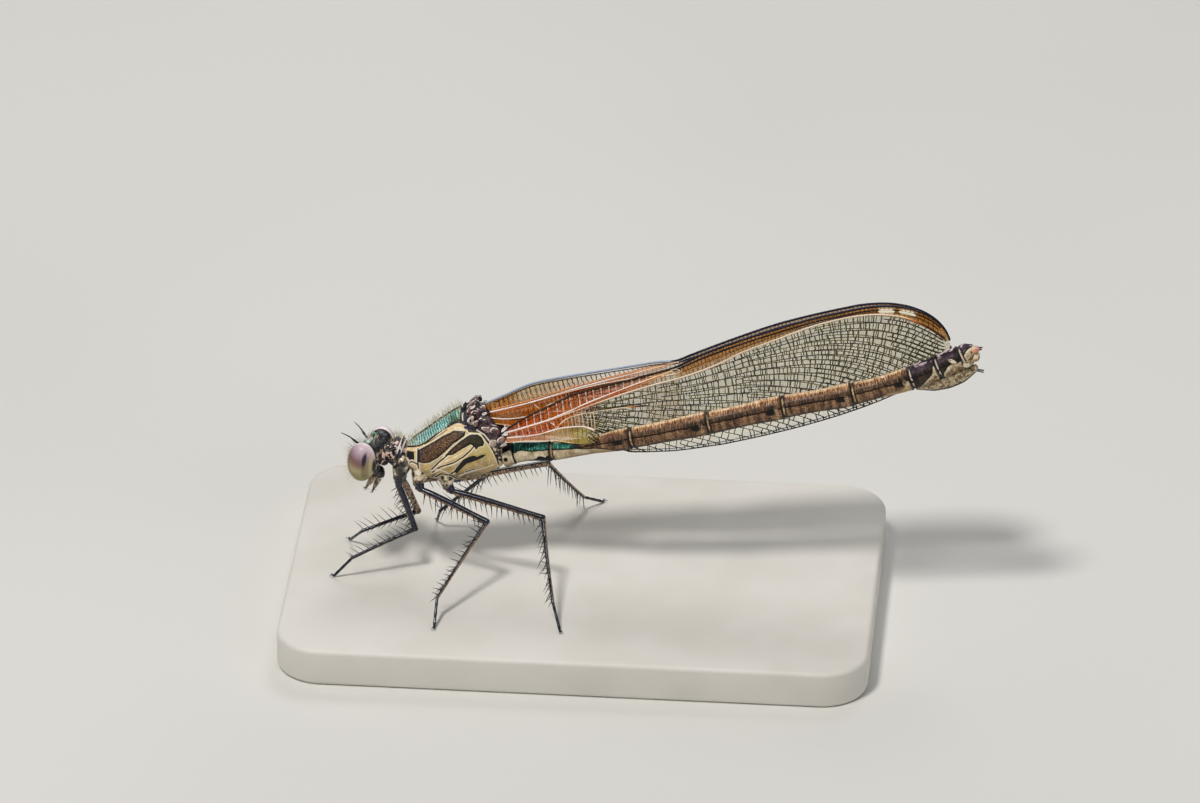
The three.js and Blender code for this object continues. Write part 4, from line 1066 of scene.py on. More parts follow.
def abdomen_material():
    """Ribbed copper above with a painted highlight of cream glints along the top, a dark line along the
    flank, mottled brown below and narrow pale rings. The first segments are teal over cream, the last ones
    purple-black over cream with a painted pinkish-white highlight on top."""
    finish = Finish("abdomen_rings")
    look = settings().body
    level, run, past = (finish.value(name) for name in ("round", "run", "past"))
    spot = finish.node("ShaderNodeCombineXYZ", {}, {0: run, 1: level * 0.14, 2: finish.value("across") * 0.1})
    ribs = finish.noise(0.07, 3, at=spot)
    broad = finish.noise(0.3, 3, at=spot)
    cloud, speck = finish.noise(0.5, 3), finish.noise(0.08, 3)
    height = level + (cloud - 0.5) * 0.2
    tail = run.rise(26.6, 27.2)
    glint = ribs * 0.75 + speck * 0.25
    copper = finish.ramp(glint, [
        (0.38, "#2a190e"), (0.47, look.copper), (0.54, "#a07147"), (0.62, "#dfb584")])
    # Painted highlight: bright cream glints along the top of the abdomen
    crest_highlight = finish.ramp(glint, [(0.36, "#6b4228"), (0.45, "#d09a6a"), (0.54, "#ffe2b6"), (0.64, "#fff4e2")])
    copper = finish.layers(copper, [
        ("#1d120c", height.rise(0.8, 0.42) * 0.68),
        (crest_highlight, height.rise(0.82, 0.95)),
        ("#2c281a", run.rise(8.4, 5.6) * 0.45),
    ])
    plum = finish.ramp(ribs * 0.4 + cloud * 0.6, [(0.4, "#160b14"), (0.5, "#34202e"), (0.6, "#5e4050")])
    # Painted highlight: pinkish white along the top of the last segments
    plum = finish.colour(plum, "#f3dde2", height.rise(0.72, 0.95) * cloud.rise(0.42, 0.56) * 0.85)
    copper = finish.colour(copper, plum, tail)
    flank = finish.ramp(ribs * 0.6 + broad * 0.4, [(0.38, "#120b08"), (0.5, "#46301f"), (0.62, "#86603e")])
    flank = finish.colour(flank, "#0e090d", tail * 0.8)
    low = finish.ramp(broad * 0.5 + speck * 0.5, [(0.38, "#241610"), (0.48, look.belly), (0.58, "#a98460")])
    low = finish.colour(low, "#120d10", tail * 0.85)
    coat = finish.colour(flank, copper, height.rise(0.34, 0.6))
    coat = finish.layers(low, [
        (coat, height.rise(0.0, 0.06)),
        ("#0b0706", height.rise(0.0, 0.05) * height.rise(0.2, 0.12) * 0.95),
        ("#120b09", height.rise(-0.62, -0.82) * 0.8),
    ])
    stripes = finish.noise(0.08, 2, at=spot)
    teal = finish.ramp(stripes * 0.7 + speck * 0.3, [
        (0.4, "#052420"), (0.49, look.abdomen_teal), (0.57, "#23806c"), (0.66, "#7fd0b4")])
    teal = finish.colour(teal, "#15181a", run.rise(0.75, 0.65).highest(run.rise(4.2, 5.2)))
    front = run.rise(5.6, 5.0)
    teal_part = front * (1 - height.rise(0.86, 0.96) * run.rise(3.0, 3.4))
    coat = finish.colour(coat, teal, teal_part)
    inside = finish.value("cream") + (finish.noise(0.4, 2) - 0.5) * 0.16
    pale = finish.ramp(cloud * 0.6 + speck * 0.4, [
        (0.38, "#9a8462"), (0.48, look.abdomen_cream), (0.6, "#f3e6c8")])
    mottle = finish.noise(0.3, 2).rise(0.42, 0.52) * tail
    pale = finish.layers(pale, [
        ("#7a5a34", inside.rise(0.2, 0.5) * mottle),
        ("#6b5638", level.rise(-0.5, -0.9) * 0.7),
        ("#a8875c", run.rise(5.2, 6.6) * (1 - tail) * 0.6),
    ])
    coat = finish.layers(coat, [
        (pale, inside.rise(-0.02, 0.03)),
        (look.black, abs(inside).rise(0.1, 0.04) * (run.rise(8.4, 7.8) + tail)),
        ("#0d0a0b", (finish.value("dark") + (speck - 0.5) * 1.2).rise(-0.02, 0.1)),
    ])
    beads = abs(past + 0.42).rise(0.16, 0.06) * height.rise(0.3, -0.1) * run.rise(8.0, 8.6) * (1 - tail)
    coat = finish.colour(coat, "#d6b284", beads * speck.rise(0.45, 0.53) * 0.8)
    dark = past.rise(-0.16, -0.08) * past.rise(0.28, 0.2)
    coat = finish.colour(coat, "#0b090b", dark * run.rise(2.8, 3.1) * 0.9)
    ring = past.rise(0.01, 0.045) * past.rise(0.15, 0.11)
    ring_tone = finish.colour(look.ring, "#9c7a4c", finish.noise(0.15, 2).rise(0.45, 0.6))
    ring_tone = finish.colour(ring_tone, "#efdcd0", tail * 0.8)
    gaps = (finish.noise(0.3, 2) + tail * -0.06).rise(0.36, 0.44)
    ring = ring * level.rise(0.93, 0.7) * level.rise(-0.8, -0.4) * gaps
    coat = finish.colour(coat, ring_tone, ring * run.rise(2.8, 3.1))
    seam = abs(past).rise(0.08, 0.045) * run.rise(2.8, 2.5) * speck.rise(0.3, 0.42)
    coat = finish.colour(coat, "#0b090b", seam)
    metal = teal_part * 0.3 + 0.05
    gloss = 0.44 + speck * 0.16
    height = ribs * 0.7 + speck * 0.3
    return finish.surface(coat, gloss, metal, coat=0.03, bump=(height, 0.045), Specular_IOR_Level=0.3)


# Tail end: cerci, ovipositor and styli

# A cercus: its length, its place beside and above the tail's end, and how it fans and rises in degrees
CERCUS = {"length": 0.66, "spread": 0.3, "height": 0.08, "fan": 10, "rise": 6}
OVIPOSITOR = {"places": [(21.3, 7.62), (22.4, 7.86), (23.5, 8.22), (24.3, 8.6), (24.95, 8.98)],
              "radii": [0.2, 0.44, 0.52, 0.48, 0.22]}
STYLUS = {"length": 0.56, "spread": 0.16, "radius": 0.045}
# Pale swellings that close the tail: centre past the tail's end, and radii
TAIL_LUMPS = [((-0.1, 0.0, -0.12), (0.3, 0.48, 0.46))] + both_sides([
    ((-0.05, 0.26, -0.36), (0.38, 0.26, 0.34)), ((-1.35, 0.5, -0.66), (0.62, 0.3, 0.36)),
    ((-0.55, 0.42, -0.7), (0.42, 0.28, 0.34)),
])


def cercus_form(side):
    """A hook that bends inwards and tapers to a thin tip."""
    along = heading(CERCUS["rise"], -side * CERCUS["fan"])
    root = TAIL_END + [-0.2, side * CERCUS["spread"], CERCUS["height"]]
    share = np.linspace(0, 1, 24)[:, None]
    path = root + along * CERCUS["length"] * share + np.array([0, -side * 0.12, 0.04]) * share ** 2
    radii = np.interp(share[:, 0], [0, 0.35, 0.62, 0.8, 1], [0.17, 0.2, 0.12, 0.07, 0.03])
    return limb(path, radii, 18).moved(body_to_world)


def ovipositor_form():
    """Two valves side by side, each a tall flat tube, soft-joined swellings above them, two thin styli."""
    forms = []
    width = TAIL_END[1]
    path = smooth_path([(x, width, z) for x, z in OVIPOSITOR["places"]], 48)
    radii = spread(OVIPOSITOR["radii"], np.linspace(0, 1, len(path)))
    for side in SIDES.values():
        forms.append(limb(path + [0, side * 0.16, 0], radii, 24, flat=0.55))
        root = path[-2] + [0.05, side * STYLUS["spread"], -0.1]
        share = np.linspace(0, 1, 12)[:, None]
        rod = root + heading(2, -side * 14) * STYLUS["length"] * share - np.array([0, 0, 0.08]) * share ** 2
        forms.append(limb(rod, np.full(12, STYLUS["radius"]), 10, values={"rod": 1.0}))
    lumps = [(TAIL_END + np.array(place), radii) for place, radii in TAIL_LUMPS]
    swellings = lumps_form(lumps, around=150, down=110, soften=0.03, reach=3.2)
    swellings.values["lump"] = np.ones(len(swellings.points))
    forms.append(swellings)
    return Form.join(forms).moved(body_to_world)


def tail_material():
    finish = Finish("cerci_peach")
    share = finish.value("share")
    tone = finish.ramp(share + (finish.noise(0.2) - 0.5) * 0.3, [
        (0.1, "#f3c9a8"), (0.4, "#e2906a"), (0.62, "#b8766a"), (0.78, "#1f1222")])
    tone = finish.colour(tone, "#fbe9e0", finish.value("round").rise(0.6, 0.9) * share.rise(0.8, 0.6) * 0.6)
    return finish.surface(tone, 0.36, coat=0.25, bump=(finish.noise(0.07, 3), 0.015))


def ovipositor_material():
    """Brown-grey valves with a dark lower edge, cream swellings with brown hollows, black rods."""
    finish = Finish("ovipositor_cream")
    patch = finish.noise(0.3, 3)
    tone = finish.layers("#b09c78", [
        ("#6b5639", patch.rise(0.42, 0.56)),
        ("#d6c6a6", finish.noise(0.14, 2).rise(0.54, 0.62)),
        ("#15100d", finish.value("round").rise(-0.66, -0.86)),
    ])
    pale = finish.colour("#e9d8ba", "#a57f4e", finish.noise(0.34, 2).rise(0.5, 0.58))
    pale = finish.colour(pale, "#1c1512", abs(finish.noise(0.42, 1) - 0.5).rise(0.025, 0.01) * 0.85)
    tone = finish.colour(tone, pale, finish.value("lump"))
    tone = finish.colour(tone, "#0c0b0c", finish.value("rod"))
    return finish.surface(tone, 0.4, coat=0.15, bump=(finish.noise(0.08, 3), 0.02))


# Wings

# Each wing by its root, angle and length, and the lines in its plane that shape it and lead its main veins:
# rows of the distance along the wing and the offset across it
FORE = {
    "root": (-6.35, 4.4), "angle": 10.9, "length": 30.1, "tip": -0.1,
    "lead": [
        [0, 0.7], [1.2, 1.02], [3, 1.48], [5, 1.55], [7.5, 1.5], [9.6, 1.47], [11.4, 1.46], [12.4, 1.37],
        [13.4, 1.6], [16.6, 2.3], [19.2, 2.78], [21.7, 3.06], [24.5, 3.25],
    ],
    "trail": [[0, -0.62], [4, -1.8], [8, -2.75], [11, -3.15], [14, -3.3]],
    "nodus": 12.4,
    "radius": [[0, 0.04], [1.4, 0.14], [2.84, 0.25], [5.55, 0.59], [8.55, 0.84], [9.54, 0.92], [12.3, 1.22]],
    "sector": [
        [2.6, 0.2], [4.5, 0.42], [7.5, 0.62], [9.6, 0.62], [12.4, 0.5], [14.4, 0.92], [16.6, 1.42],
        [19.2, 1.95], [21.7, 2.45], [24, 2.6], [26, 2.35], [28, 1.65], [29.2, 0.8], [29.85, 0.1],
    ],
    "cubitus": [[0, -0.3], [1.1, -0.55], [2.4, -0.62], [3.6, -0.55], [5.2, -0.8], [6, -1.05]],
    "media": [[3.4, -0.5], [3.9, -0.15], [4.9, -0.02], [6.4, -0.08], [8, -0.2], [9.4, -0.36]],
}
HIND = {
    "root": (-5.05, 2.95), "angle": 14.0, "length": 29.2, "tip": 0.1,
    "lead": [
        [0, 0.58], [1.78, 1.18], [2.84, 1.43], [4.9, 1.86], [6.7, 1.92], [8.7, 1.96], [10.2, 2.04],
        [11.3, 2.12], [13.3, 2.61], [15.9, 3.02], [18.4, 3.29], [21, 3.5], [23.5, 3.55],
    ],
    "trail": [
        [0, -0.25], [1.2, -0.4], [2.9, -0.82], [4.3, -1.18], [5.4, -1.62], [6.6, -2.35], [9.6, -3.12],
        [13.3, -3.42],
    ],
    "nodus": 11.3,
    "radius": [[0, 0.4], [1.2, 0.46], [2.95, 0.59], [5.5, 1.07], [7.6, 1.4], [10.7, 1.84], [11.3, 1.93]],
    "sector": [
        [2.6, 0.5], [4, 0.68], [5.5, 0.86], [7.5, 1.08], [9.6, 1.26], [12, 1.42], [14.4, 1.81],
        [15.7, 2.17], [18.3, 2.61], [20.9, 3.0], [23.4, 3.08], [25.3, 2.84], [27, 2.18], [28.1, 1.36],
        [28.9, 0.55],
    ],
    "cubitus": [[0.1, 0.06], [1.2, -0.1], [2.27, -0.18], [3.48, -0.14], [4.82, -0.36], [5.65, -0.66]],
    "media": [[3.35, -0.02], [3.54, 0.12], [4.0, 0.37], [4.9, 0.45], [6.4, 0.36], [7.7, 0.22], [9.2, 0.02]],
}
TIP_ROUNDNESS = 2.3
# Where along the body the sheets swing from their roots into their flat part
SWING = (-6.4, 4.6)
# Each sheet's side and drop at its root and in its flat part, how far it slides to the head, and the seed of
# its veins. The lifted one is draped over the abdomen
SHEETS = {
    "hind_left": {"form": HIND, "sides": (-1.42, 0.55), "drops": (0.0, 0.054), "slide": 0.0, "seed": 11},
    "fore_left": {"form": FORE, "sides": (-0.5, 1.04), "drops": (0.0, 0.0), "slide": 0.0, "seed": 12},
    "fore_right": {"form": FORE, "sides": (0.5, 1.5), "drops": (0.2, 0.098), "slide": 0.036, "seed": 12},
    "hind_right": {"form": HIND, "sides": (1.42, 1.95), "drops": (0.1, 0.354), "slide": 0.109, "seed": 11},
}
LIFTED = SHEETS["hind_left"]
# A vein's colour as one number, along a ramp of the colours that veins fade through. The sky tone's pale
# blue-grey is a painted sheen
TONE = {"sky": 0.0, "black": 0.3, "brown": 0.48, "orange": 0.64, "cream": 0.82, "white": 1.0}
# The left hind wing's edge: draped over the abdomen, lifted over its top, then dropped behind it
LIFT_EDGE = [[0, -0.25], [2.9, -0.82], [4.3, -1.15], [5.3, -1.3], [5.8, -1.2], [6.05, -0.95], [6.5, -0.98],
             [6.8, -1.6], [7.2, -2.5], [7.9, -3.25], [29, -4.1]]
# Between which distances along the wing the drape ends, and how far it keeps off the abdomen
LIFT_ZONE = (5.95, 6.5)
ABDOMEN_CLEARANCE = 0.1
# The film's thickness, its grid, and the height and turns of the pleats near its root
MEMBRANE = 0.02
WING_GRID = {"along": 220, "across": 50}
PLEAT = {"height": 0.03, "turns": 40}
# How much of a wing's length its outline runs, just short of the tip, where its two edges meet
WING_END = 0.9995
# The net's cells: their length, the rows at the start of the net, and how wide a row opens before it splits
CELL = {"size": 0.4, "first_rows": 10, "open": 0.6}
# Where the net starts and ends along the wing, and how the fan of its veins grows
NET = {"start": 5.2, "end": 0.985, "top": 1.6}
FAN = {"size": 0.79, "unit": 8, "power": 1.1, "rest": 0.05, "edge": 0.995}


def wing_edge(form, edge, s):
    """An edge's offset: smooth through its rows, then down to the tip's as the root of 1 - part ** power."""
    rows = form[edge]
    start = rows[-1][0]
    part = np.clip((s - start) / (form["length"] - start), 0, 1)
    rounded = mix(form["tip"], rows[-1][1], np.sqrt(1 - part ** TIP_ROUNDNESS))
    return np.where(s <= start, through(rows)(np.minimum(s, start)), rounded)


def on_sheet(sheet, s, t, out=0.0):
    """A wing's point in the body frame, from its distance along the wing, its offset across and its
    stand-off: the sheet's side swings from the root's to the flat part's as x passes SWING, and the
    farther sheets lie a little lower and nearer to the head there."""
    form = sheet["form"]
    c, n = np.cos(degrees(form["angle"])), np.sin(degrees(form["angle"]))
    if sheet is LIFTED:
        t = np.maximum(t, through(LIFT_EDGE)(s))
    x = form["root"][0] + s * c - t * n
    high = form["root"][1] + s * n + t * c
    flat = ease(x, *SWING)
    side = mix(*sheet["sides"], flat)
    if sheet is LIFTED:
        side = mix(side, np.minimum(side, drape_side(x, high)), 1 - ease(s, *LIFT_ZONE))
    return np.stack([x - sheet["slide"] * flat, side + out, high - mix(*sheet["drops"], flat)], -1)


def drape_side(x, high):
    """How far out a sheet must lie to clear the abdomen: on its near flank the circle of its section,
    above its top a slope that leads back."""
    run = np.interp(x, JOINTS[:, 0], RUNS)
    centre = through(np.column_stack([RUNS, JOINTS]))(run)
    radius = abdomen_radius(run) + ABDOMEN_CLEARANCE
    above = high - centre[..., 2]
    flank = centre[..., 1] - np.sqrt(np.clip(radius ** 2 - np.clip(above, 0, None) ** 2, 0, None))
    return np.where(above < radius, flank, centre[..., 1] + 1.4 * (above - radius))


def wing_form(name):
    """A thin closed sheet: stations along the wing, each a ring that runs across the near face and back
    across the far one. Its values are distances from the nodus, the main veins and the root."""
    sheet = SHEETS[name]
    form = sheet["form"]
    s = form["length"] * np.sin(np.linspace(0, np.pi / 2, WING_GRID["along"]))[:, None] * WING_END
    c = np.linspace(0, 1, WING_GRID["across"])[None]
    t = mix(wing_edge(form, "lead", s), wing_edge(form, "trail", s), c)
    pleat = PLEAT["height"] * np.sin(c * PLEAT["turns"]) * ease(s, 0, 3) * (1 - ease(s, 20, 29))
    faces = [on_sheet(sheet, s + 0 * c, t, pleat + half * MEMBRANE / 2) for half in (-1, 1)]
    rings = np.concatenate([faces[0], faces[1][:, ::-1]], 1)
    values = {
        "along": s + 0 * c, "outer": s - form["nodus"] + 0 * c, "fore": (form is FORE) + 0 * t,
        "before": t - through(form["sector"])(s), "ahead": t - through(form["radius"])(s),
        "below": through(form["cubitus"])(s) - t,
    }
    return tubes(rings[None], {key: np.concatenate([value, value[:, ::-1]], 1)[None]
                               for key, value in values.items()}).moved(body_to_world)


def ridges(sheet, lines, widths, tall, tones):
    """Raised veins: each line's points in the wing's plane get a four-cornered section, half its width
    to either side along the line's own normal and half its height to either face."""
    tangent = np.gradient(lines, axis=1)
    normal = unit(np.stack([-tangent[..., 1], tangent[..., 0]], -1))
    corners = []
    for across, out in ((1, 0), (0, 1), (-1, 0), (0, -1)):
        spot = lines + normal * (across * widths / 2)[..., None]
        corners.append(on_sheet(sheet, spot[..., 0], spot[..., 1], out * tall / 2))
    return tubes(np.stack(corners, 2), {"tone": tones[..., None]})


class Veins:
    """One wing's veins as they are gathered. A width is a multiple of a fine vein's, and a width or a
    tone may be a function of the distance along the wing."""

    def __init__(self, sheet, width):
        self.sheet, self.form, self.width, self.parts = sheet, sheet["form"], width, []
        self.draw = np.random.default_rng(sheet["seed"])
        self.lead, self.trail = (partial(wing_edge, self.form, edge) for edge in ("lead", "trail"))
        self.radius, self.sector, self.cubitus, self.media = (
            through(self.form[key]) for key in ("radius", "sector", "cubitus", "media"))

    def first(self, s):
        """The vein just behind the leading edge, from the nodus on."""
        nodus = self.form["nodus"]
        return self.lead(s) - 0.19 - 0.08 * ease(s, nodus, nodus + 2)

    def band(self, s):
        """The vein in the middle of the band before the sector."""
        return mix(self.first(s), self.sector(s), 0.45)

    def add(self, lines, wide, tone, tall=0.08):
        """Lines of one count of points each, in the wing's plane."""
        s = lines[..., 0]
        wide, tone = (value(s) if callable(value) else value + 0 * s for value in (wide, tone))
        self.parts.append(ridges(self.sheet, lines, wide * self.width, tall, tone))

    def run(self, curve, start, end, wide, tone=TONE["black"], tall=0.1, steps=80):
        """One long vein along a curve."""
        s = np.linspace(start, end, steps)
        self.add(np.stack([s, curve(s)], -1)[None], wide, tone, tall)

    def ladder(self, upper, lower, start, end, step, wide, tone=TONE["black"], lean=0.0):
        """Cross veins from one long vein to the next, a step apart with a little scatter, tops leaning."""
        s = np.arange(start, end, step)
        s = s + self.draw.uniform(-0.12, 0.12, len(s)) * step
        top = s - lean
        self.add(np.stack([np.stack([top, upper(top)], -1), np.stack([s, lower(s)], -1)], 1), wide, tone)


def fade(start, end, first, last):
    """A value that eases from first to last between two distances along the wing."""
    return lambda s: mix(first, last, ease(s, start, end))


def beside(curve, offset):
    """The curve that keeps an offset from another."""
    return lambda s: curve(s) + offset


def between(upper, lower, share):
    """The curve at a share of the way from one to another."""
    return lambda s: mix(upper(s), lower(s), share)


def edge_veins(net):
    """The wing's outline, thick and dark along the front, fine and double along the back."""
    length, nodus = net.form["length"], net.form["nodus"]
    s = np.sin(np.linspace(0, np.pi / 2, 150)) * length * WING_END
    # On the forewing the front edge is pale blue-grey up to the nodus, a painted sheen, then dark
    front = TONE["sky"] if net.form is FORE else 0.33
    wide = 3.4 - 1.2 * ease(s, length - 4, length)
    front_edge, hind_edge = (np.stack([s, t], -1)[None] for t in (net.lead(s) - 0.03, net.trail(s)))
    net.add(front_edge, lambda _: wide, fade(nodus - 0.4, nodus, front, 0.19), 0.12)
    net.add(hind_edge, 1.5, fade(5.3, 6.2, 0.8, TONE["black"]), 0.07)
    net.run(beside(net.trail, 0.16), 6.6, length * 0.8, 0.8)
    net.run(net.first, nodus - 0.1, length * 0.985, 2.2, fade(nodus + 4, nodus + 7, 0.2, TONE["black"]))


def pale_and_brown(s):
    """Tones of cross veins that are pale in some stretches of the wing and brown between them."""
    return np.where(np.sin(s * 23) > -0.1, 0.9, 0.42)


def base_veins(net):
    """The pale veins of the wing's inner third and the ladders between them."""
    form, nodus = net.form, net.form["nodus"]
    lead, radius, sector, cubitus, media = net.lead, net.radius, net.sector, net.cubitus, net.media
    split = form["media"][0][0]
    net.run(beside(radius, -0.13), 0.3, nodus * 0.95, 1.4, fade(6, 10, 0.62, 0.7))
    paling = fade(nodus - 2.4, nodus - 1.2, 1.0, 0.8)
    net.run(radius, 0.0, nodus, lambda s: 3.4 - 1.2 * s / nodus, paling, 0.15)
    net.run(cubitus, form["cubitus"][0][0], form["cubitus"][-1][0], 2.8, 0.98, 0.14)
    net.run(media, split, form["media"][-1][0], 2.0, fade(7.5, 9.2, 0.9, TONE["black"]))
    top, foot = split - 0.42, split + 0.1
    net.add(np.array([[[top, radius(top) * 0.8], [foot, cubitus(foot)]]]), 1.8, 0.95)
    if form is FORE:
        under, strip = beside(lead, -0.2), beside(radius, 0.15)
        net.run(under, 0.6, nodus, 1.3)
        net.run(strip, 0.4, nodus - 2.4, 1.2, 0.72)
        net.ladder(under, between(under, strip, 0.6), 0.9, nodus - 0.2, 0.3, 1.0, TONE["black"], 0.05)
        net.ladder(between(under, strip, 0.55), strip, 0.95, nodus - 0.2, 0.3, 1.1, 0.58, 0.04)
        net.ladder(radius, cubitus, 0.6, split, 0.3, 0.9, 0.7, 0.05)
    else:
        net.ladder(lead, radius, 1.0, nodus - 1.0, 0.5, 1.7, fade(8, 10, 1.0, 0.8), -0.08)
        net.run(between(lead, radius, 0.34), 1.0, nodus, 0.9, 0.42)
        net.ladder(lead, between(lead, radius, 0.5), 1.2, nodus - 0.4, 0.25, 0.7, 0.36)
        net.ladder(radius, cubitus, 0.8, split - 0.1, 0.4, 1.3, 0.97, 0.05)
    net.ladder(sector, media, split + 0.4, 6.2, 0.26, 1.0, fade(5.2, 6.2, 0.92, TONE["black"]))
    net.ladder(media, cubitus, split + 0.45, 5.8, 0.24, 1.2, fade(4.8, 5.8, 0.98, 0.85), -0.06)
    net.ladder(cubitus, net.trail, 0.9, 5.8, 0.3, 0.7, pale_and_brown, -0.05)
    net.ladder(radius, sector, split + 0.5, nodus, 0.3, 0.8, 0.45)


def outer_veins(net):
    """Beyond the nodus: the strong cream sector, and the dark ladders of the band before it."""
    form, nodus, length = net.form, net.form["nodus"], net.form["length"]
    end = form["sector"][-1][0]
    net.run(net.sector, 2.8, end, fade(4, 9, 1.7, 3.0), fade(end - 3, end - 0.6, 0.92, 0.42), 0.16, 110)
    net.run(net.band, nodus + 0.4, end - 0.3, 1.2, fade(end - 4, end, 0.42, 0.34), 0.09, 110)
    net.ladder(net.lead, net.first, nodus + 0.7, length * 0.98, 0.26, 0.9)
    net.ladder(net.first, net.band, nodus + 0.5, end - 0.4, 0.24, 0.9, 0.33)
    net.ladder(net.band, net.sector, nodus + 0.5, end - 0.3, 0.28, 0.9, 0.33)
    low = net.sector(nodus + 0.8)
    net.add(np.array([[[nodus - 0.15, net.lead(nodus) - 0.1], [nodus + 0.35, low + 0.55]],
                      [[nodus + 0.3, low + 0.55], [nodus + 0.85, low]]]), 1.8, 0.9)


def net_veins(net):
    """The net behind the sector: long veins that spread like a fan, and cross veins between neighbours."""
    form = net.form
    last = form["length"] * NET["end"]
    veins = net_lines(form, net.draw)
    s = mix(veins[:, 1:2], veins[:, 2:3], np.linspace(0, 1, 56)[None])
    net.add(np.stack([s, in_fan(form, veins[:, :1], s)], -1), 1.25, TONE["black"], 0.06)
    crossing = []
    for station in np.arange(NET["start"] + 0.1, last, CELL["size"]):
        alive = veins[(veins[:, 1] <= station) & (veins[:, 2] > station)][:, 0]
        upper, lower = np.concatenate([[0], alive]), np.concatenate([alive, [9.0]])
        spot = station + net.draw.uniform(-0.5, 0.5, len(upper)) * CELL["size"] * 0.8
        spot = np.clip(spot, NET["start"] - 0.1, last)
        top, bottom = in_fan(form, upper, spot), in_fan(form, lower, spot)
        slope = (in_fan(form, lower, spot + 0.1) - bottom) / 0.1
        foot = spot + np.clip(slope * (top - bottom), -0.2, 0.05)
        pair = np.stack([np.stack([spot, top], -1), np.stack([foot, in_fan(form, lower, foot)], -1)], 1)
        crossing.append(pair[top - bottom > 0.05])
    net.add(np.concatenate(crossing), 1.0, TONE["black"], 0.055)


def fan_growth(form, s):
    """How far the net's veins have spread at a station: it rises as the root of the distance, over a
    power of what is left of the wing, so that they bend to the hind edge and the tip."""
    share = np.clip(s / form["length"], 0, FAN["edge"])
    return FAN["size"] * np.sqrt(s / FAN["unit"]) / ((1 - share) ** FAN["power"] + FAN["rest"])


def net_lines(form, draw):
    """Long veins of the net as (height in the fan, first station, last station). Each new set starts
    where the gaps of the one before it have opened to CELL's open."""
    stations = np.linspace(NET["start"] - 0.7, form["length"] * NET["end"], 400)
    sector = through(form["sector"])(np.minimum(stations, form["sector"][-1][0]))
    chord = sector - wing_edge(form, "trail", stations)
    growth = fan_growth(form, stations)
    veins, gap, start = [], 1 / CELL["first_rows"], NET["start"]
    for level in range(5):
        for height in np.arange(gap, NET["top"], 2 * gap if level else gap):
            inside = stations[height * growth < FAN["edge"]]
            if len(inside) and inside[-1] > start + 0.8:
                veins.append((height, start + draw.uniform(-0.5, 0.5) * (level > 0), inside[-1]))
        opened = stations[(stations > start) & (gap * growth * chord > CELL["open"])]
        if not len(opened):
            break
        start, gap = opened[0], gap / 2
    return np.array(sorted(veins))


def in_fan(form, height, s):
    """A point of the net from its height in the fan: that times the growth, as a share of the way from
    the strong pale vein to the hind edge."""
    top = through(form["sector"])(np.minimum(s, form["sector"][-1][0]))
    top = np.minimum(top, wing_edge(form, "lead", s) - 0.05)
    return mix(top, wing_edge(form, "trail", s), np.clip(height * fan_growth(form, s), 0, 1))


def vein_form(name, width):
    """All veins of a wing in one form."""
    net = Veins(SHEETS[name], width)
    for part in (edge_veins, base_veins, outer_veins, net_veins):
        part(net)
    return Form.join(net.parts).moved(body_to_world)


def wing_material():
    """Red-orange film in the inner cells, clear before the forewing's strong vein, an amber band beyond
    the nodus before the sector, and faint amber film behind it."""
    finish = Finish("wing_film")
    look = settings().wings
    s, outer, fore = (finish.value(name) for name in ("along", "outer", "fore"))
    before, ahead, below = (finish.value(name) for name in ("before", "ahead", "below"))
    cloud, speck = finish.noise(0.8, 3), finish.noise(0.25, 2)
    far = outer.rise(-0.1, 0.3)
    front = ahead.rise(-0.04, 0.04)
    strip = front * ahead.rise(0.26, 0.16)
    root = s.rise(3.6, 1.2)
    fore_front = strip.highest(s.rise(9.0, 10.5) * 0.5).highest(front * root)
    fore_front = fore_front.highest(front * s.rise(10.0, 5.0) * 0.6)
    inner_front = mix(front, fore_front, fore)
    under = (1 - front) * ahead.rise(-0.42, -0.3) * s.rise(11.0, 9.0)
    core = (1 - front) * below.rise(0.05, -0.05) * s.rise(6.2, 3.4)
    low = below.rise(-0.05, 0.05) * (s.rise(6.0, 4.6) * 0.7).highest(s.rise(3.6, 2.2))
    hot = inner_front.highest(under).highest(core) * (1 - far)
    band = before.rise(-0.06, 0.06) * far
    red = finish.ramp(s / 12.0, [
        (0.0, "#a33a10"), (0.1, look.root), (0.35, "#ee7a1a"), (0.6, "#f4782a"), (0.85, "#e09a48"),
        (1.0, "#cf9448")])
    red = finish.layers(red, [
        ("#cc4c0a", cloud.rise(0.42, 0.66) * 0.5),
        ("#c98a1c", front * fore * s.rise(9.0, 6.0) * 0.9),
        ("#ffa850", strip * fore * 0.6),
        ("#e0901c", (1 - front) * fore * s.rise(5.0, 3.4) * 0.65),
    ])
    bars = (s * 21 + speck * 5).sine().rise(0.1, 0.8) * s.rise(8.5, 6.0)
    red = finish.colour(red, "#6b2a06", bars * 0.75)
    red = finish.colour(red, "#8f5a14", (1 - front) * fore * s.rise(3.2, 1.6) * below.rise(-0.5, -0.1) * 0.7)
    olive = finish.colour("#d9761a", "#b3a236", s.rise(2.0, 5.2))
    olive = finish.colour(olive, "#8a7418", cloud.rise(0.5, 0.7) * 0.5)
    amber = finish.colour("#d2a04c", look.band, before.rise(0.1, 0.4))
    amber = finish.colour(amber, "#3c3420", (before - 0.75).rise(0.0, 0.15) * 0.7)
    tone = finish.layers(look.film, [
        (olive, low),
        (red, hot),
        (amber, band),
    ])
    alpha = (hot * (s.rise(7.0, 2.5) * 0.22 + 0.3)).highest(low * 0.6).highest(band * 0.28).highest(0.08)
    return finish.surface(tone, 0.35, alpha=alpha, bump=(finish.noise(0.2, 2), 0.01), IOR=1.35)


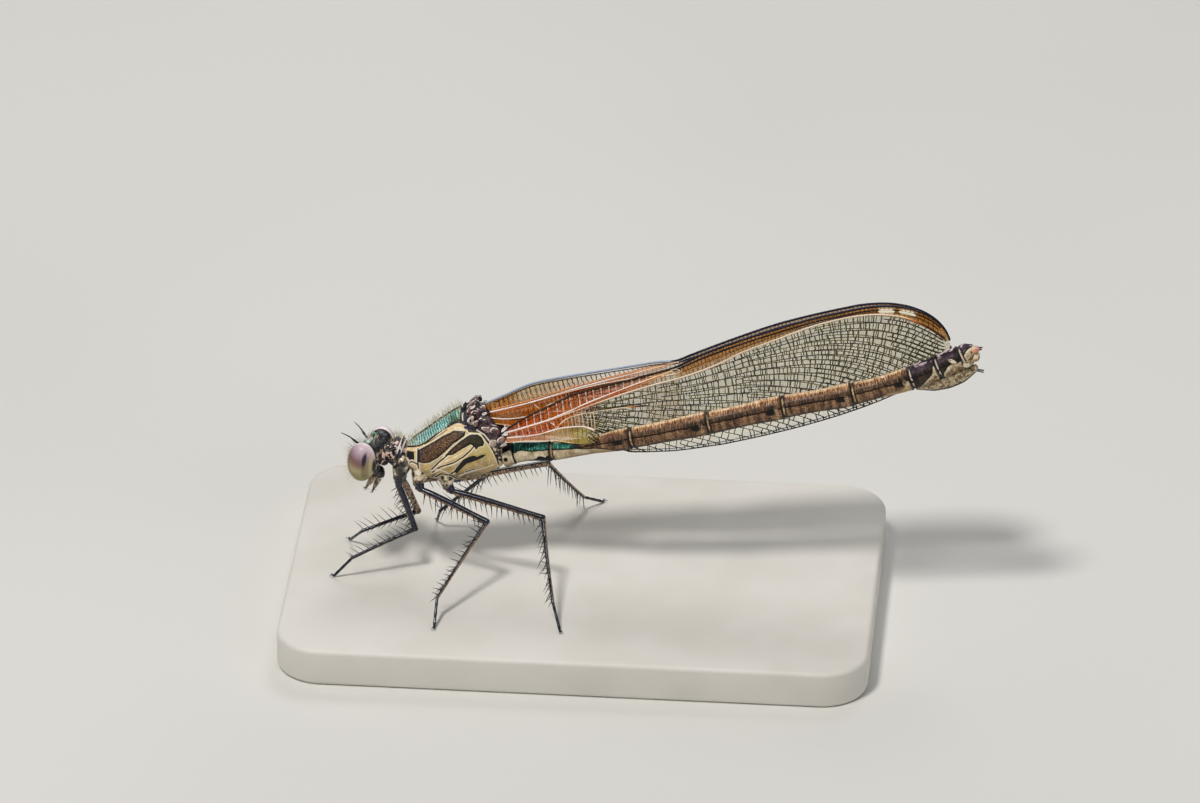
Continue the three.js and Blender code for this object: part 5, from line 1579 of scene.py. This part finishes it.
def vein_material():
    finish = Finish("wing_veins")
    look = settings().wings
    tone = finish.value("tone") + (finish.noise(0.5, 2) - 0.5) * 0.04
    colour = finish.ramp(tone, [
        # The sky stop's pale blue-grey is a painted sheen
        (TONE["sky"], "#a9b6ca"), (0.12, "#27304d"), (0.2, "#10152a"), (TONE["black"], look.vein),
        (TONE["brown"], "#6b3212"), (TONE["orange"], "#e8843a"), (TONE["cream"], "#ffdca8"),
        (TONE["white"], look.pale_vein)])
    return finish.surface(colour, 0.55, bump=(finish.noise(0.08, 2), 0.01), Specular_IOR_Level=0.2)


# The pale cells near a wing's tip: where each starts, its length and depth, and how far below the edge
STIGMA = {"starts": (25.05, 26.35), "length": 1.08, "depth": 0.32, "below": 0.2}


def stigma_form():
    """The pale cells near each wing's tip: flat lozenges with round ends, set in the film."""
    forms = []
    for sheet in SHEETS.values():
        form = sheet["form"]
        scale = form["length"] / HIND["length"]
        for start in STIGMA["starts"]:
            share = np.linspace(0, 1, 14)[:, None]
            s = (start + share * STIGMA["length"]) * scale
            round_end = np.sqrt(np.clip(1 - (2 * share - 1) ** 6, 0.01, 1))
            angle = circle(10)[None]
            middle = wing_edge(form, "lead", s) - STIGMA["below"] - STIGMA["depth"] / 2
            t = middle + STIGMA["depth"] / 2 * round_end * np.cos(angle)
            forms.append(tubes(on_sheet(sheet, s + 0 * angle, t, 0.05 * round_end * np.sin(angle))[None]))
    return Form.join(forms).moved(body_to_world)


def stigma_material():
    """Cream-white cells with a few yellower patches."""
    finish = Finish("wing_spots")
    tone = finish.colour("#fff7e0", "#f2d49a", finish.noise(0.3, 2).rise(0.45, 0.75))
    return finish.surface(tone, 0.35, bump=(finish.noise(0.1, 2), 0.01))


# Legs

# Each leg's places in the body's lean, and where its foot stands on the floor
LEGS = {
    "front_left": {"coxa": (-11.75, -0.3, 10.0), "hip": (-12.05, -0.85, 8.75), "knee": (-10.88, -1.27, 5.52),
                   "ankle": (-14.85, -2.55, 3.9), "foot": (-16.02, -2.71)},
    "front_right": {"coxa": (-11.75, 0.75, 9.6), "hip": (-11.95, 0.75, 8.2), "knee": (-11.04, 2.03, 4.92),
                    "ankle": (-14.6, 1.06, 3.8), "foot": (-15.49, 1.9)},
    "middle_left": {"coxa": (-10.55, -0.25, 9.5), "hip": (-10.75, -0.95, 8.45), "knee": (-6.08, -2.46, 7.0),
                    "ankle": (-8.87, -7.06, 3.91), "foot": (-8.92, -8.57)},
    "middle_right": {"coxa": (-10.55, 0.8, 9.1), "hip": (-10.75, 1.0, 7.85), "knee": (-5.96, 3.05, 7.88),
                     "ankle": (-9.8, 3.9, 3.9), "foot": (-10.1, 4.8)},
    "hind_left": {"coxa": (-8.95, -0.3, 9.3), "hip": (-8.75, -1.0, 8.4), "knee": (-2.51, -2.0, 7.21),
                  "ankle": (-1.41, -7.02, 3.91), "foot": (-0.84, -8.35)},
    "hind_right": {"coxa": (-8.95, 0.7, 9.0), "hip": (-8.45, 0.5, 8.3), "knee": (-2.7, 3.59, 8.04),
                   "ankle": (-0.67, 7.08, 3.53), "foot": (0.48, 8.17)},
}
FLOOR_LEVEL = 2.5
FOOT_HEIGHT = 0.1
# Radii of a leg's stretches, evenly spaced from the body to the foot
FEMUR = [0.17, 0.23, 0.23, 0.21, 0.2, 0.22]
TIBIA = [0.17, 0.135, 0.12, 0.11, 0.11]
TARSUS = [0.09, 0.1, 0.085, 0.1, 0.085, 0.1, 0.075]
COXA = [0.62, 0.54, 0.34]
CLAW = {"length": 0.34, "radius": 0.05, "spread": 24}


def leg_places(spots):
    """A leg's coxa, hip, knee, ankle and foot as points. The foot rests on the floor, a claw's height up."""
    places = [np.array(spots[key], float) for key in ("coxa", "hip", "knee", "ankle")]
    return *places, np.array([*spots["foot"], FLOOR_LEVEL + FOOT_HEIGHT])


def inner_way(hip, knee, ankle):
    """The way that a leg's inner side faces: to where the knee bends."""
    return unit(unit(hip - knee) + unit(ankle - knee))


def leg_form(name):
    """Stretches in a chain, each a tube with its own swelling: coxa, trochanter, femur, tibia, a foot of
    three joints and two claws. The inner side is the one that the knee bends to."""
    coxa, hip, knee, ankle, foot = leg_places(LEGS[name])
    inner = inner_way(hip, knee, ankle)
    to_body = [0, -SIDES[name.split("_")[1]], 0]

    def stretch(a, b, radii, kind, steps=26, sag=0.0):
        share = np.linspace(0, 1, steps)
        path = a + (b - a) * share[:, None] + inner * (sag * np.sin(np.pi * share))[:, None]
        medial = np.sign(np.cross(b - a, inner) @ to_body) * np.sin(circle(16))
        return limb(path, spread(radii, share), 16, inner, values={"kind": float(kind), "medial": medial})

    toe = unit((foot - ankle) * [1, 1, 0])
    instep = [mix(ankle, foot, part) for part in (0.0, 0.34, 0.68, 1.0)]
    parts = [
        stretch(coxa, mix(coxa, hip, 0.8), COXA, -1 if name.startswith("front") else 0),
        stretch(mix(coxa, hip, 0.68), hip + unit(knee - hip) * 0.3, [0.3, 0.3, 0.22], 3, 10),
        stretch(hip, knee, FEMUR, 1, 40, -0.05),
        stretch(knee, ankle, TIBIA, 2, 40, 0.04),
    ]
    for number, (a, b) in enumerate(zip(instep, instep[1:])):
        parts.append(stretch(a, b, TARSUS[number * 2:number * 2 + 3], 3, 12))
    for side in SIDES.values():
        out = turn_z(degrees(side * CLAW["spread"])) @ toe
        share = np.linspace(0, 1, 10)[:, None]
        path = foot + out * CLAW["length"] * share + np.array([0, 0, 0.1]) * np.sin(np.pi * share)
        parts.append(limb(path, CLAW["radius"] * (1.1 - share[:, 0]), 8, values={"kind": 3.0}))
    return Form.join(parts)


def leg_material():
    """Blue-black, with a narrow tan line below the femur, a brown side that faces the body, and a brown
    outer side of the tibia. The coxae are cream with dark blots."""
    finish = Finish("leg_horn")
    look = settings().body
    kind, inward, share, medial = (finish.value(name) for name in ("kind", "round", "share", "medial"))
    dark = finish.colour(look.leg, "#1f2a58", finish.noise(0.3, 3).rise(0.52, 0.7) * 0.7)
    tan = finish.colour("#c3a07a", "#8a6544", finish.noise(0.15, 3).rise(0.42, 0.62))
    speckled = finish.colour(tan, "#1d1613", finish.noise(0.16, 3).rise(0.48, 0.54))
    coxa = finish.ramp(finish.noise(0.42, 4), [
        (0.38, "#141114"), (0.46, "#4a3f3a"), (0.5, "#b39f80"), (0.56, "#e6d2ac"), (0.66, "#f4e8dc")])
    blots = finish.noise(0.5, 2).rise(0.62, 0.52)
    coxa = finish.colour(coxa, "#17151a", kind.rise(-0.4, -0.6) * blots * 0.85)
    coxa = finish.colour(coxa, "#0e0c10", share.rise(0.7, 0.95) * 0.85)
    femur = abs(kind - 1.0).rise(0.5, 0.4)
    tibia = abs(kind - 2.0).rise(0.5, 0.4)
    line = femur * inward.rise(0.72, 0.84) * share.rise(0.95, 0.85) + tibia * inward.rise(-0.3, -0.55) * 0.85
    tone = finish.layers(dark, [
        (speckled, femur * medial.rise(0.15, 0.4) * share.rise(0.97, 0.9)),
        (tan, line * finish.noise(0.2, 2).rise(0.36, 0.46)),
        (coxa, kind.rise(0.5, 0.4)),
    ])
    return finish.surface(tone, 0.26, coat=0.45, bump=(finish.noise(0.06, 3), 0.01))


# The step between bristles, their lean in degrees, and for femur and tibia where the rows start and end, the
# share of the full length, and how far the two rows fork in degrees
BRISTLES = {"step": 0.34, "lean": 22, "femur": (0.12, 0.97, 0.98, 34), "tibia": (0.04, 0.97, 1.32, 62)}


def bristle_form(length, radius):
    """Two rows of bristles along each femur and tibia, forked to either side of the inner line and
    leaning to the foot, each with its own length, turn and bend."""
    draw = np.random.default_rng(21)
    roots, ways, lengths, bends, spots = [], [], [], [], []
    for number, places in enumerate(LEGS.values()):
        _, hip, knee, ankle, _ = leg_places(places)
        inner = inner_way(hip, knee, ankle)
        for row, (a, b, radii, (start, end, scale, fork)) in enumerate((
                (hip, knee, FEMUR, BRISTLES["femur"]), (knee, ankle, TIBIA, BRISTLES["tibia"]))):
            along = unit(b - a)
            inward = unit(inner - along * (inner @ along))
            across = np.cross(along, inward)
            count = int(np.linalg.norm(b - a) * (end - start) / BRISTLES["step"])
            for side in (-1, 1):
                share = np.linspace(start, end, count) + draw.uniform(-0.01, 0.01, count)
                turn = degrees(side * fork + draw.normal(0, 7, count))[:, None]
                lean = degrees(BRISTLES["lean"] + draw.normal(0, 6, count))[:, None]
                out = inward * np.cos(turn) + across * np.sin(turn)
                base = a + (b - a) * share[:, None]
                roots.append(base + out * (spread(radii, share) * 0.7)[:, None])
                ways.append(unit(out * np.cos(lean) + along * np.sin(lean)))
                lengths.append(length * scale * draw.uniform(0.75, 1.15, count) * (1 - 0.3 * share))
                bends.append(along * draw.uniform(0.0, 0.12, count)[:, None])
                column = np.full(count, (number + 0.3 + 0.1 * side + 0.5 * row) / 7)
                spots.append(np.stack([column, 0.05 + 0.9 * share], -1))
    return spines(*(np.concatenate(rows) for rows in (roots, ways, lengths)), radius,
                  np.concatenate(bends), 4, np.concatenate(spots))


# Hairs of the face, the neck and the back

# Fine hairs of the head and bristles of the mouth, patch by patch: how many, the patch's middle and half
# size, the place that they point away from, and their length
HAIR_PATCHES = [
    (420, (-0.75, 0, -0.35), (0.12, 0.8, 0.7), (0.6, 0, 0), 0.8),
    (60, (-0.1, 0, 0.85), (0.4, 0.6, 0.06), (0, 0, -0.6), 0.6),
]
MOUTH_PATCHES = [
    (34, (-0.95, 0, -1.15), (0.2, 0.55, 0.14), (0.1, 0, 0.2), 0.3),
    (16, (0.3, 0, -1.5), (0.2, 0.4, 0.1), (0.1, 0, 0.3), 0.3),
]
HAIR_RADIUS = 0.011
MOUTH_BRISTLE_RADIUS = 0.022
BACK_HAIRS = {"count": 420, "x": (-12.6, -7.9), "half": 0.5, "length": 0.62}
PALP_BRISTLES = {"count": 9, "length": 0.26}


def head_hairs(patches, scale, radius, draw):
    """Fine hairs rooted on the head's skin, each pointing away from a place inside it, with some scatter."""
    forms = []
    for number, (count, centre, half_size, away, length) in enumerate(patches):
        roots = np.array(centre) + draw.uniform(-1, 1, (count, 3)) * half_size
        ways = unit(roots - np.array(away)) + draw.normal(0, 0.24, (count, 3))
        roots = on_head(roots)
        spot = np.stack([0.2 + 0.2 * number + 0.1 * roots[:, 1], 0.3 + 0.15 * roots[:, 2]], -1)
        lengths = length * scale * draw.uniform(0.5, 1.2, count)
        bend = draw.normal(0, 0.25, (count, 3))
        forms.append(spines(roots, unit(ways), lengths, radius, bend, 3, np.clip(spot, 0.01, 0.99)))
    return Form.join(forms).moved(head_to_world)


def back_hairs(scale, draw):
    """Hairs of the neck and the back's ridge, standing off the skin and leaning forwards a little."""
    count = BACK_HAIRS["count"]
    first, last = BACK_HAIRS["x"]
    x = draw.uniform(first, last, count)
    side = draw.normal(0, BACK_HAIRS["half"], count)
    under, back, half_width, narrowing = np.moveaxis(through(CHEST)(x), -1, 0)
    across = np.clip(side / half_width, -0.9, 0.9)
    up = np.sqrt(1 - across ** 2)
    high = (under + back) / 2 + up * (back - under) / 2
    roots = np.stack([x, across * half_width * (1 - narrowing * up), high], -1)
    ways = np.stack([-0.35 + 0 * x, across, up], -1) + draw.normal(0, 0.2, (count, 3))
    spot = np.stack([0.5 + 0.15 * across, 0.05 + 0.9 * (x - first) / (last - first)], -1)
    lengths = BACK_HAIRS["length"] * scale * draw.uniform(0.4, 1.1, count)
    bend = draw.normal(0, 0.2, (count, 3))
    return spines(roots, unit(ways), lengths, HAIR_RADIUS, bend, 3, spot).moved(body_to_world)


def mouth_bristle_form():
    """Short black bristles below the face and at the palps' ends, fanned out from each tip."""
    draw = np.random.default_rng(33)
    forms = [head_hairs(MOUTH_PATCHES, 1.0, MOUTH_BRISTLE_RADIUS, draw)]
    for spots in PALP_PATHS:
        tip, count = np.array(spots[-1]), PALP_BRISTLES["count"]
        ways = unit(unit(tip - np.array(spots[-2])) + draw.normal(0, 0.55, (count, 3)))
        lengths = PALP_BRISTLES["length"] * draw.uniform(0.6, 1.3, count)
        spot = np.full((count, 2), 0.8) + draw.uniform(-0.05, 0.05, (count, 2))
        roots, bend = np.repeat(tip[None], count, 0), np.zeros((count, 3))
        bristles = spines(roots, ways, lengths, MOUTH_BRISTLE_RADIUS, bend, 3, spot)
        forms.append(bristles.moved(head_to_world))
    return Form.join(forms)


def hair_form(scale):
    """All pale hairs: of the face and crown, and of the neck and back."""
    draw = np.random.default_rng(31)
    return Form.join([head_hairs(HAIR_PATCHES, scale, HAIR_RADIUS, draw), back_hairs(scale, draw)])


def on_head(points):
    """Points drawn in to the head's skin: each is scaled from the centre to the nearest lump's surface."""
    direction = unit(points)
    distance = np.zeros(len(points))
    for centre, radii in HEAD_LUMPS:
        centre, radii = np.array(centre), np.array(radii)
        a = ((direction / radii) ** 2).sum(-1)
        b = (direction * centre / radii ** 2).sum(-1)
        c = ((centre / radii) ** 2).sum() - 1
        root = b * b - a * c
        hit = np.where(root > 0, (b + np.sqrt(np.maximum(root, 0))) / a, 0)
        distance = np.maximum(distance, hit)
    return direction * (distance - 0.02)[:, None]


def hair_material():
    finish = Finish("pale_hairs")
    tone = finish.colour("#e2dac0", "#a8a07c", finish.value("share"))
    return finish.surface(tone, 0.6, Specular_IOR_Level=0.3)


# Stage

# The camera of the photo: angles in degrees, places and lens in millimetres
CAMERA = {"azimuth": 5.0, "elevation": 30.0, "target": (1.0, 0.0, 14.9), "distance": 600.0, "lens": 280.8}
# Round lamps: places and sizes in millimetres, powers in watts
LIGHTS = {
    "key": {"place": (-120, -150, 470), "size": 90, "power": 1.5, "colour": (1.0, 0.98, 0.95)},
    "fill": {"place": (320, -300, 200), "size": 260, "power": 0.22, "colour": (0.94, 0.97, 1.0)},
    "rim": {"place": (60, 330, 380), "size": 200, "power": 0.5, "colour": (1.0, 1.0, 1.0)},
}
# Where the lamps point
LIT_PLACE = (0, 0, 12)
FLOOR_SIZE = 4000.0


def add_camera():
    azimuth, elevation = degrees(CAMERA["azimuth"]), degrees(CAMERA["elevation"])
    level = np.cos(elevation)
    ahead = Vector((-np.sin(azimuth) * level, np.cos(azimuth) * level, -np.sin(elevation)))
    data = bpy.data.cameras.new("camera")
    data.sensor_width = 36.0
    data.lens = CAMERA["lens"]
    data.clip_start, data.clip_end = 0.01, 20.0
    camera = bpy.data.objects.new("camera", data)
    bpy.context.scene.collection.objects.link(camera)
    camera.location = Vector(CAMERA["target"]) * MM - ahead * CAMERA["distance"] * MM
    camera.rotation_euler = ahead.to_track_quat("-Z", "Y").to_euler()
    bpy.context.scene.camera = camera


def add_light(name, light):
    data = bpy.data.lights.new(name, "AREA")
    data.shape, data.size = "DISK", light["size"] * MM
    data.energy, data.color = light["power"], light["colour"]
    lamp = bpy.data.objects.new(name, data)
    bpy.context.scene.collection.objects.link(lamp)
    lamp.location = Vector(light["place"]) * MM
    lamp.rotation_euler = (Vector(LIT_PLACE) * MM - lamp.location).to_track_quat("-Z", "Y").to_euler()


def add_floor(level):
    half = FLOOR_SIZE / 2 * MM
    mesh = bpy.data.meshes.new("floor")
    corners = [(-half, -half, level), (half, -half, level), (half, half, level), (-half, half, level)]
    mesh.from_pydata(corners, [], [(0, 1, 2, 3)])
    finish = Finish("floor_paper")
    tone = finish.colour(settings().stage.floor, "#cfcdc8", finish.noise(90.0, 2).rise(0.4, 0.7) * 0.3)
    mesh.materials.append(finish.surface(tone, 0.8))
    floor = bpy.data.objects.new("floor", mesh)
    bpy.context.scene.collection.objects.link(floor)


def add_world():
    world = bpy.data.worlds.new("studio")
    world.use_nodes = True
    background = world.node_tree.nodes["Background"]
    background.inputs[0].default_value = paint(settings().stage.sky)
    background.inputs[1].default_value = settings().stage.sky_power
    bpy.context.scene.world = world
    bpy.context.scene.view_settings.view_transform = "Standard"


# Settings that a user would change

def colour_setting(name, description, hex_colour):
    return FloatVectorProperty(name=name, description=description, subtype="COLOR", size=3, min=0, max=1,
                               default=paint(hex_colour)[:3])


def length_setting(name, description, millimetres, lowest, highest):
    return FloatProperty(name=name, description=description, unit="LENGTH", default=millimetres * MM,
                         min=lowest * MM, max=highest * MM, precision=5)


class DamselflyBase(bpy.types.PropertyGroup):
    colour: colour_setting("Paint", "Colour of the base plate", "#e6e2da")


class DamselflyBody(bpy.types.PropertyGroup):
    teal: colour_setting("Chest panel", "Metallic panel of the chest's back", "#41a8a8")
    bronze: colour_setting("Chest bands", "Dark bands on the flanks", "#3c2516")
    cream: colour_setting("Chest cream", "Pale stripes of the chest", "#f3cf9c")
    yellow: colour_setting("Chest yellow", "Lower part of the flanks", "#e0c07c")
    black: colour_setting("Lines", "Sutures, ridge and outlines", "#0b0a0c")
    eye_high: colour_setting("Eye, above", "Upper part of the eyes", "#a08290")
    eye_low: colour_setting("Eye, below", "Lower part of the eyes", "#a0945c")
    abdomen_teal: colour_setting("Abdomen, front", "Metallic back of the front segments", "#0c4f45")
    abdomen_cream: colour_setting("Abdomen, side", "Sides of the front segments", "#cdb896")
    copper: colour_setting("Abdomen, back", "Back of the middle segments", "#8a5a3c")
    belly: colour_setting("Abdomen, below", "Lower flank of the middle segments", "#6a4a34")
    ring: colour_setting("Rings", "Pale rings at the joints", "#d9c08c")
    leg: colour_setting("Legs", "Dark ground of the legs", "#080c20")


class DamselflyWings(bpy.types.PropertyGroup):
    root: colour_setting("Root", "Film between the veins at the root", "#dc5410")
    band: colour_setting("Front band", "Film before the strong pale vein", "#d08c34")
    film: colour_setting("Film", "Film of the rest of the wing", "#e3d283")
    vein: colour_setting("Veins", "Dark veins", "#120e0a")
    pale_vein: colour_setting("Pale veins", "Veins near the root", "#fbeee6")
    vein_width: length_setting("Vein width", "Width of a fine vein", 0.042, 0.02, 0.2)


class DamselflyCoat(bpy.types.PropertyGroup):
    bristle_length: length_setting("Bristle length", "Length of a shin's bristle", 0.95, 0.2, 2)
    bristle_radius: length_setting("Bristle radius", "Radius of a bristle's root", 0.036, 0.01, 0.1)
    hair_scale: FloatProperty(name="Hair length", description="Length of the fine hairs, as a share",
                              default=1.0, min=0.2, max=2.0)


class DamselflyStage(bpy.types.PropertyGroup):
    floor: colour_setting("Floor", "Colour of the floor", "#e4e2dd")
    sky: colour_setting("Sky", "Colour of the soft light all round", "#eef1f4")
    sky_power: FloatProperty(name="Sky power", description="Strength of the soft light", default=0.22, min=0)


class DamselflySettings(bpy.types.PropertyGroup):
    base: PointerProperty(type=DamselflyBase, name="Base", description="The base plate")
    body: PointerProperty(type=DamselflyBody, name="Body", description="Head, chest, abdomen and legs")
    wings: PointerProperty(type=DamselflyWings, name="Wings", description="Film and veins")
    coat: PointerProperty(type=DamselflyCoat, name="Coat", description="Bristles and hairs")
    stage: PointerProperty(type=DamselflyStage, name="Stage", description="Floor and light")


# Operators

class BuildBase(bpy.types.Operator):
    """Build the base plate"""
    bl_idname, bl_label = "damselfly.base", "Base plate"

    def execute(self, context):
        piece("base_plate", base_form(), base_material(), ["stand_base"])
        return {"FINISHED"}


class BuildHead(bpy.types.Operator):
    """Build the head's shell"""
    bl_idname, bl_label = "damselfly.head", "Head"

    def execute(self, context):
        piece("head_shell", head_form(), head_material(), ["head"])
        return {"FINISHED"}


class BuildEyes(bpy.types.Operator):
    """Build the two eyes"""
    bl_idname, bl_label = "damselfly.eyes", "Eyes"

    def execute(self, context):
        material = eye_material()
        for name, side in SIDES.items():
            piece(f"eye_ball_{name}", eye_form(side), material, [f"eye_{name}"])
        return {"FINISHED"}


class BuildFeelers(bpy.types.Operator):
    """Build the two antennae"""
    bl_idname, bl_label = "damselfly.feelers", "Antennae"

    def execute(self, context):
        material = horn_material("feeler_horn", "#0d0d0f", "#2a2a30")
        for name, side in SIDES.items():
            piece(f"feeler_{name}", feeler_form(side), material, [f"antenna_{name}"])
        return {"FINISHED"}


class BuildMouth(bpy.types.Operator):
    """Build the jaws and palps"""
    bl_idname, bl_label = "damselfly.mouth", "Mouthparts"

    def execute(self, context):
        piece("jaws_and_palps", mouth_form(), mouth_material(), ["mouthparts"])
        return {"FINISHED"}


class BuildChest(bpy.types.Operator):
    """Build the skin of prothorax and thorax, and the plates at the wings' roots"""
    bl_idname, bl_label = "damselfly.chest", "Thorax"

    def execute(self, context):
        piece("chest_skin", chest_form(), chest_material(), ["prothorax", "thorax"])
        piece("wing_root_plates", joint_form(), joint_material())
        return {"FINISHED"}


class BuildAbdomen(bpy.types.Operator):
    """Build the abdomen's skin, with its ten segments"""
    bl_idname, bl_label = "damselfly.abdomen", "Abdomen"

    def execute(self, context):
        nodes = [f"abdomen_{number}" for number in range(1, len(SEGMENTS) + 1)]
        piece("abdomen_skin", abdomen_form(), abdomen_material(), nodes)
        return {"FINISHED"}


class BuildTail(bpy.types.Operator):
    """Build the cerci, the ovipositor and its styli"""
    bl_idname, bl_label = "damselfly.tail", "Tail end"

    def execute(self, context):
        material = tail_material()
        for name, side in SIDES.items():
            piece(f"cercus_hook_{name}", cercus_form(side), material, [f"cercus_{name}"])
        piece("ovipositor_valves", ovipositor_form(), ovipositor_material(), ["ovipositor"])
        return {"FINISHED"}


class BuildWings(bpy.types.Operator):
    """Build the four wings' films and the pale spots near their tips"""
    bl_idname, bl_label = "damselfly.wings", "Wing films"

    def execute(self, context):
        material = wing_material()
        for name in SHEETS:
            side, half = name.split("_")
            piece(f"film_{name}", wing_form(name), material, [f"wing_{side}_{half}"])
        piece("wing_spots", stigma_form(), stigma_material())
        return {"FINISHED"}


class BuildVeins(bpy.types.Operator):
    """Build the four wings' veins"""
    bl_idname, bl_label = "damselfly.veins", "Wing veins"

    def execute(self, context):
        material = vein_material()
        width = settings().wings.vein_width / MM
        for name in SHEETS:
            piece(f"veins_{name}", vein_form(name, width), material, smooth=False)
        return {"FINISHED"}


class BuildLegs(bpy.types.Operator):
    """Build the six legs, from coxa to claws"""
    bl_idname, bl_label = "damselfly.legs", "Legs"

    def execute(self, context):
        material = leg_material()
        for name in LEGS:
            nodes = [f"leg_{name}_{part}" for part in ("femur", "tibia", "tarsus")]
            piece(f"leg_skin_{name}", leg_form(name), material, nodes)
        return {"FINISHED"}


class BuildBristles(bpy.types.Operator):
    """Build the legs' bristles and the fine hairs of head and back"""
    bl_idname, bl_label = "damselfly.bristles", "Bristles and hairs"

    def execute(self, context):
        coat = settings().coat
        form = bristle_form(coat.bristle_length / MM, coat.bristle_radius / MM)
        horn = horn_material("bristle_horn", "#0b0b0d", "#1c1c22")
        piece("leg_bristles", form, horn, smooth=False)
        horn = horn_material("mouth_bristle_horn", "#0b0b0d", "#26222a")
        piece("mouth_bristles", mouth_bristle_form(), horn, smooth=False)
        piece("fine_hairs", hair_form(coat.hair_scale), hair_material(), smooth=False)
        return {"FINISHED"}


class BuildStage(bpy.types.Operator):
    """Set up the floor, the light and the camera"""
    bl_idname, bl_label = "damselfly.stage", "Stage"

    def execute(self, context):
        add_floor(SOLID_BOX[0][2])
        add_world()
        for name, light in LIGHTS.items():
            add_light(name, light)
        add_camera()
        return {"FINISHED"}


BUILDERS = (BuildStage, BuildBase, BuildHead, BuildEyes, BuildFeelers, BuildMouth, BuildChest, BuildAbdomen,
            BuildTail, BuildWings, BuildVeins, BuildLegs, BuildBristles)
GROUPS = (DamselflyBase, DamselflyBody, DamselflyWings, DamselflyCoat, DamselflyStage, DamselflySettings)


class DamselflyPanel(bpy.types.Panel):
    """Lists the damselfly's settings and the steps that build it"""
    bl_idname = "VIEW3D_PT_damselfly"
    bl_label = "Damselfly"
    bl_space_type = "VIEW_3D"
    bl_region_type = "UI"
    bl_category = "Damselfly"

    def draw(self, context):
        for builder in BUILDERS:
            self.layout.operator(builder.bl_idname)
        for group in ("base", "body", "wings", "coat", "stage"):
            box = self.layout.box()
            box.label(text=group.capitalize())
            owner = getattr(context.scene.damselfly, group)
            for name in owner.__annotations__:
                box.prop(owner, name)


def register():
    for part in (*GROUPS, *BUILDERS, DamselflyPanel):
        bpy.utils.register_class(part)
    bpy.types.Scene.damselfly = PointerProperty(type=DamselflySettings)


def unregister():
    del bpy.types.Scene.damselfly
    for part in reversed((*GROUPS, *BUILDERS, DamselflyPanel)):
        bpy.utils.unregister_class(part)


def main():
    register()
    for builder in BUILDERS:
        group, action = builder.bl_idname.split(".")
        getattr(getattr(bpy.ops, group), action)()


if __name__ == "__main__":
    main()
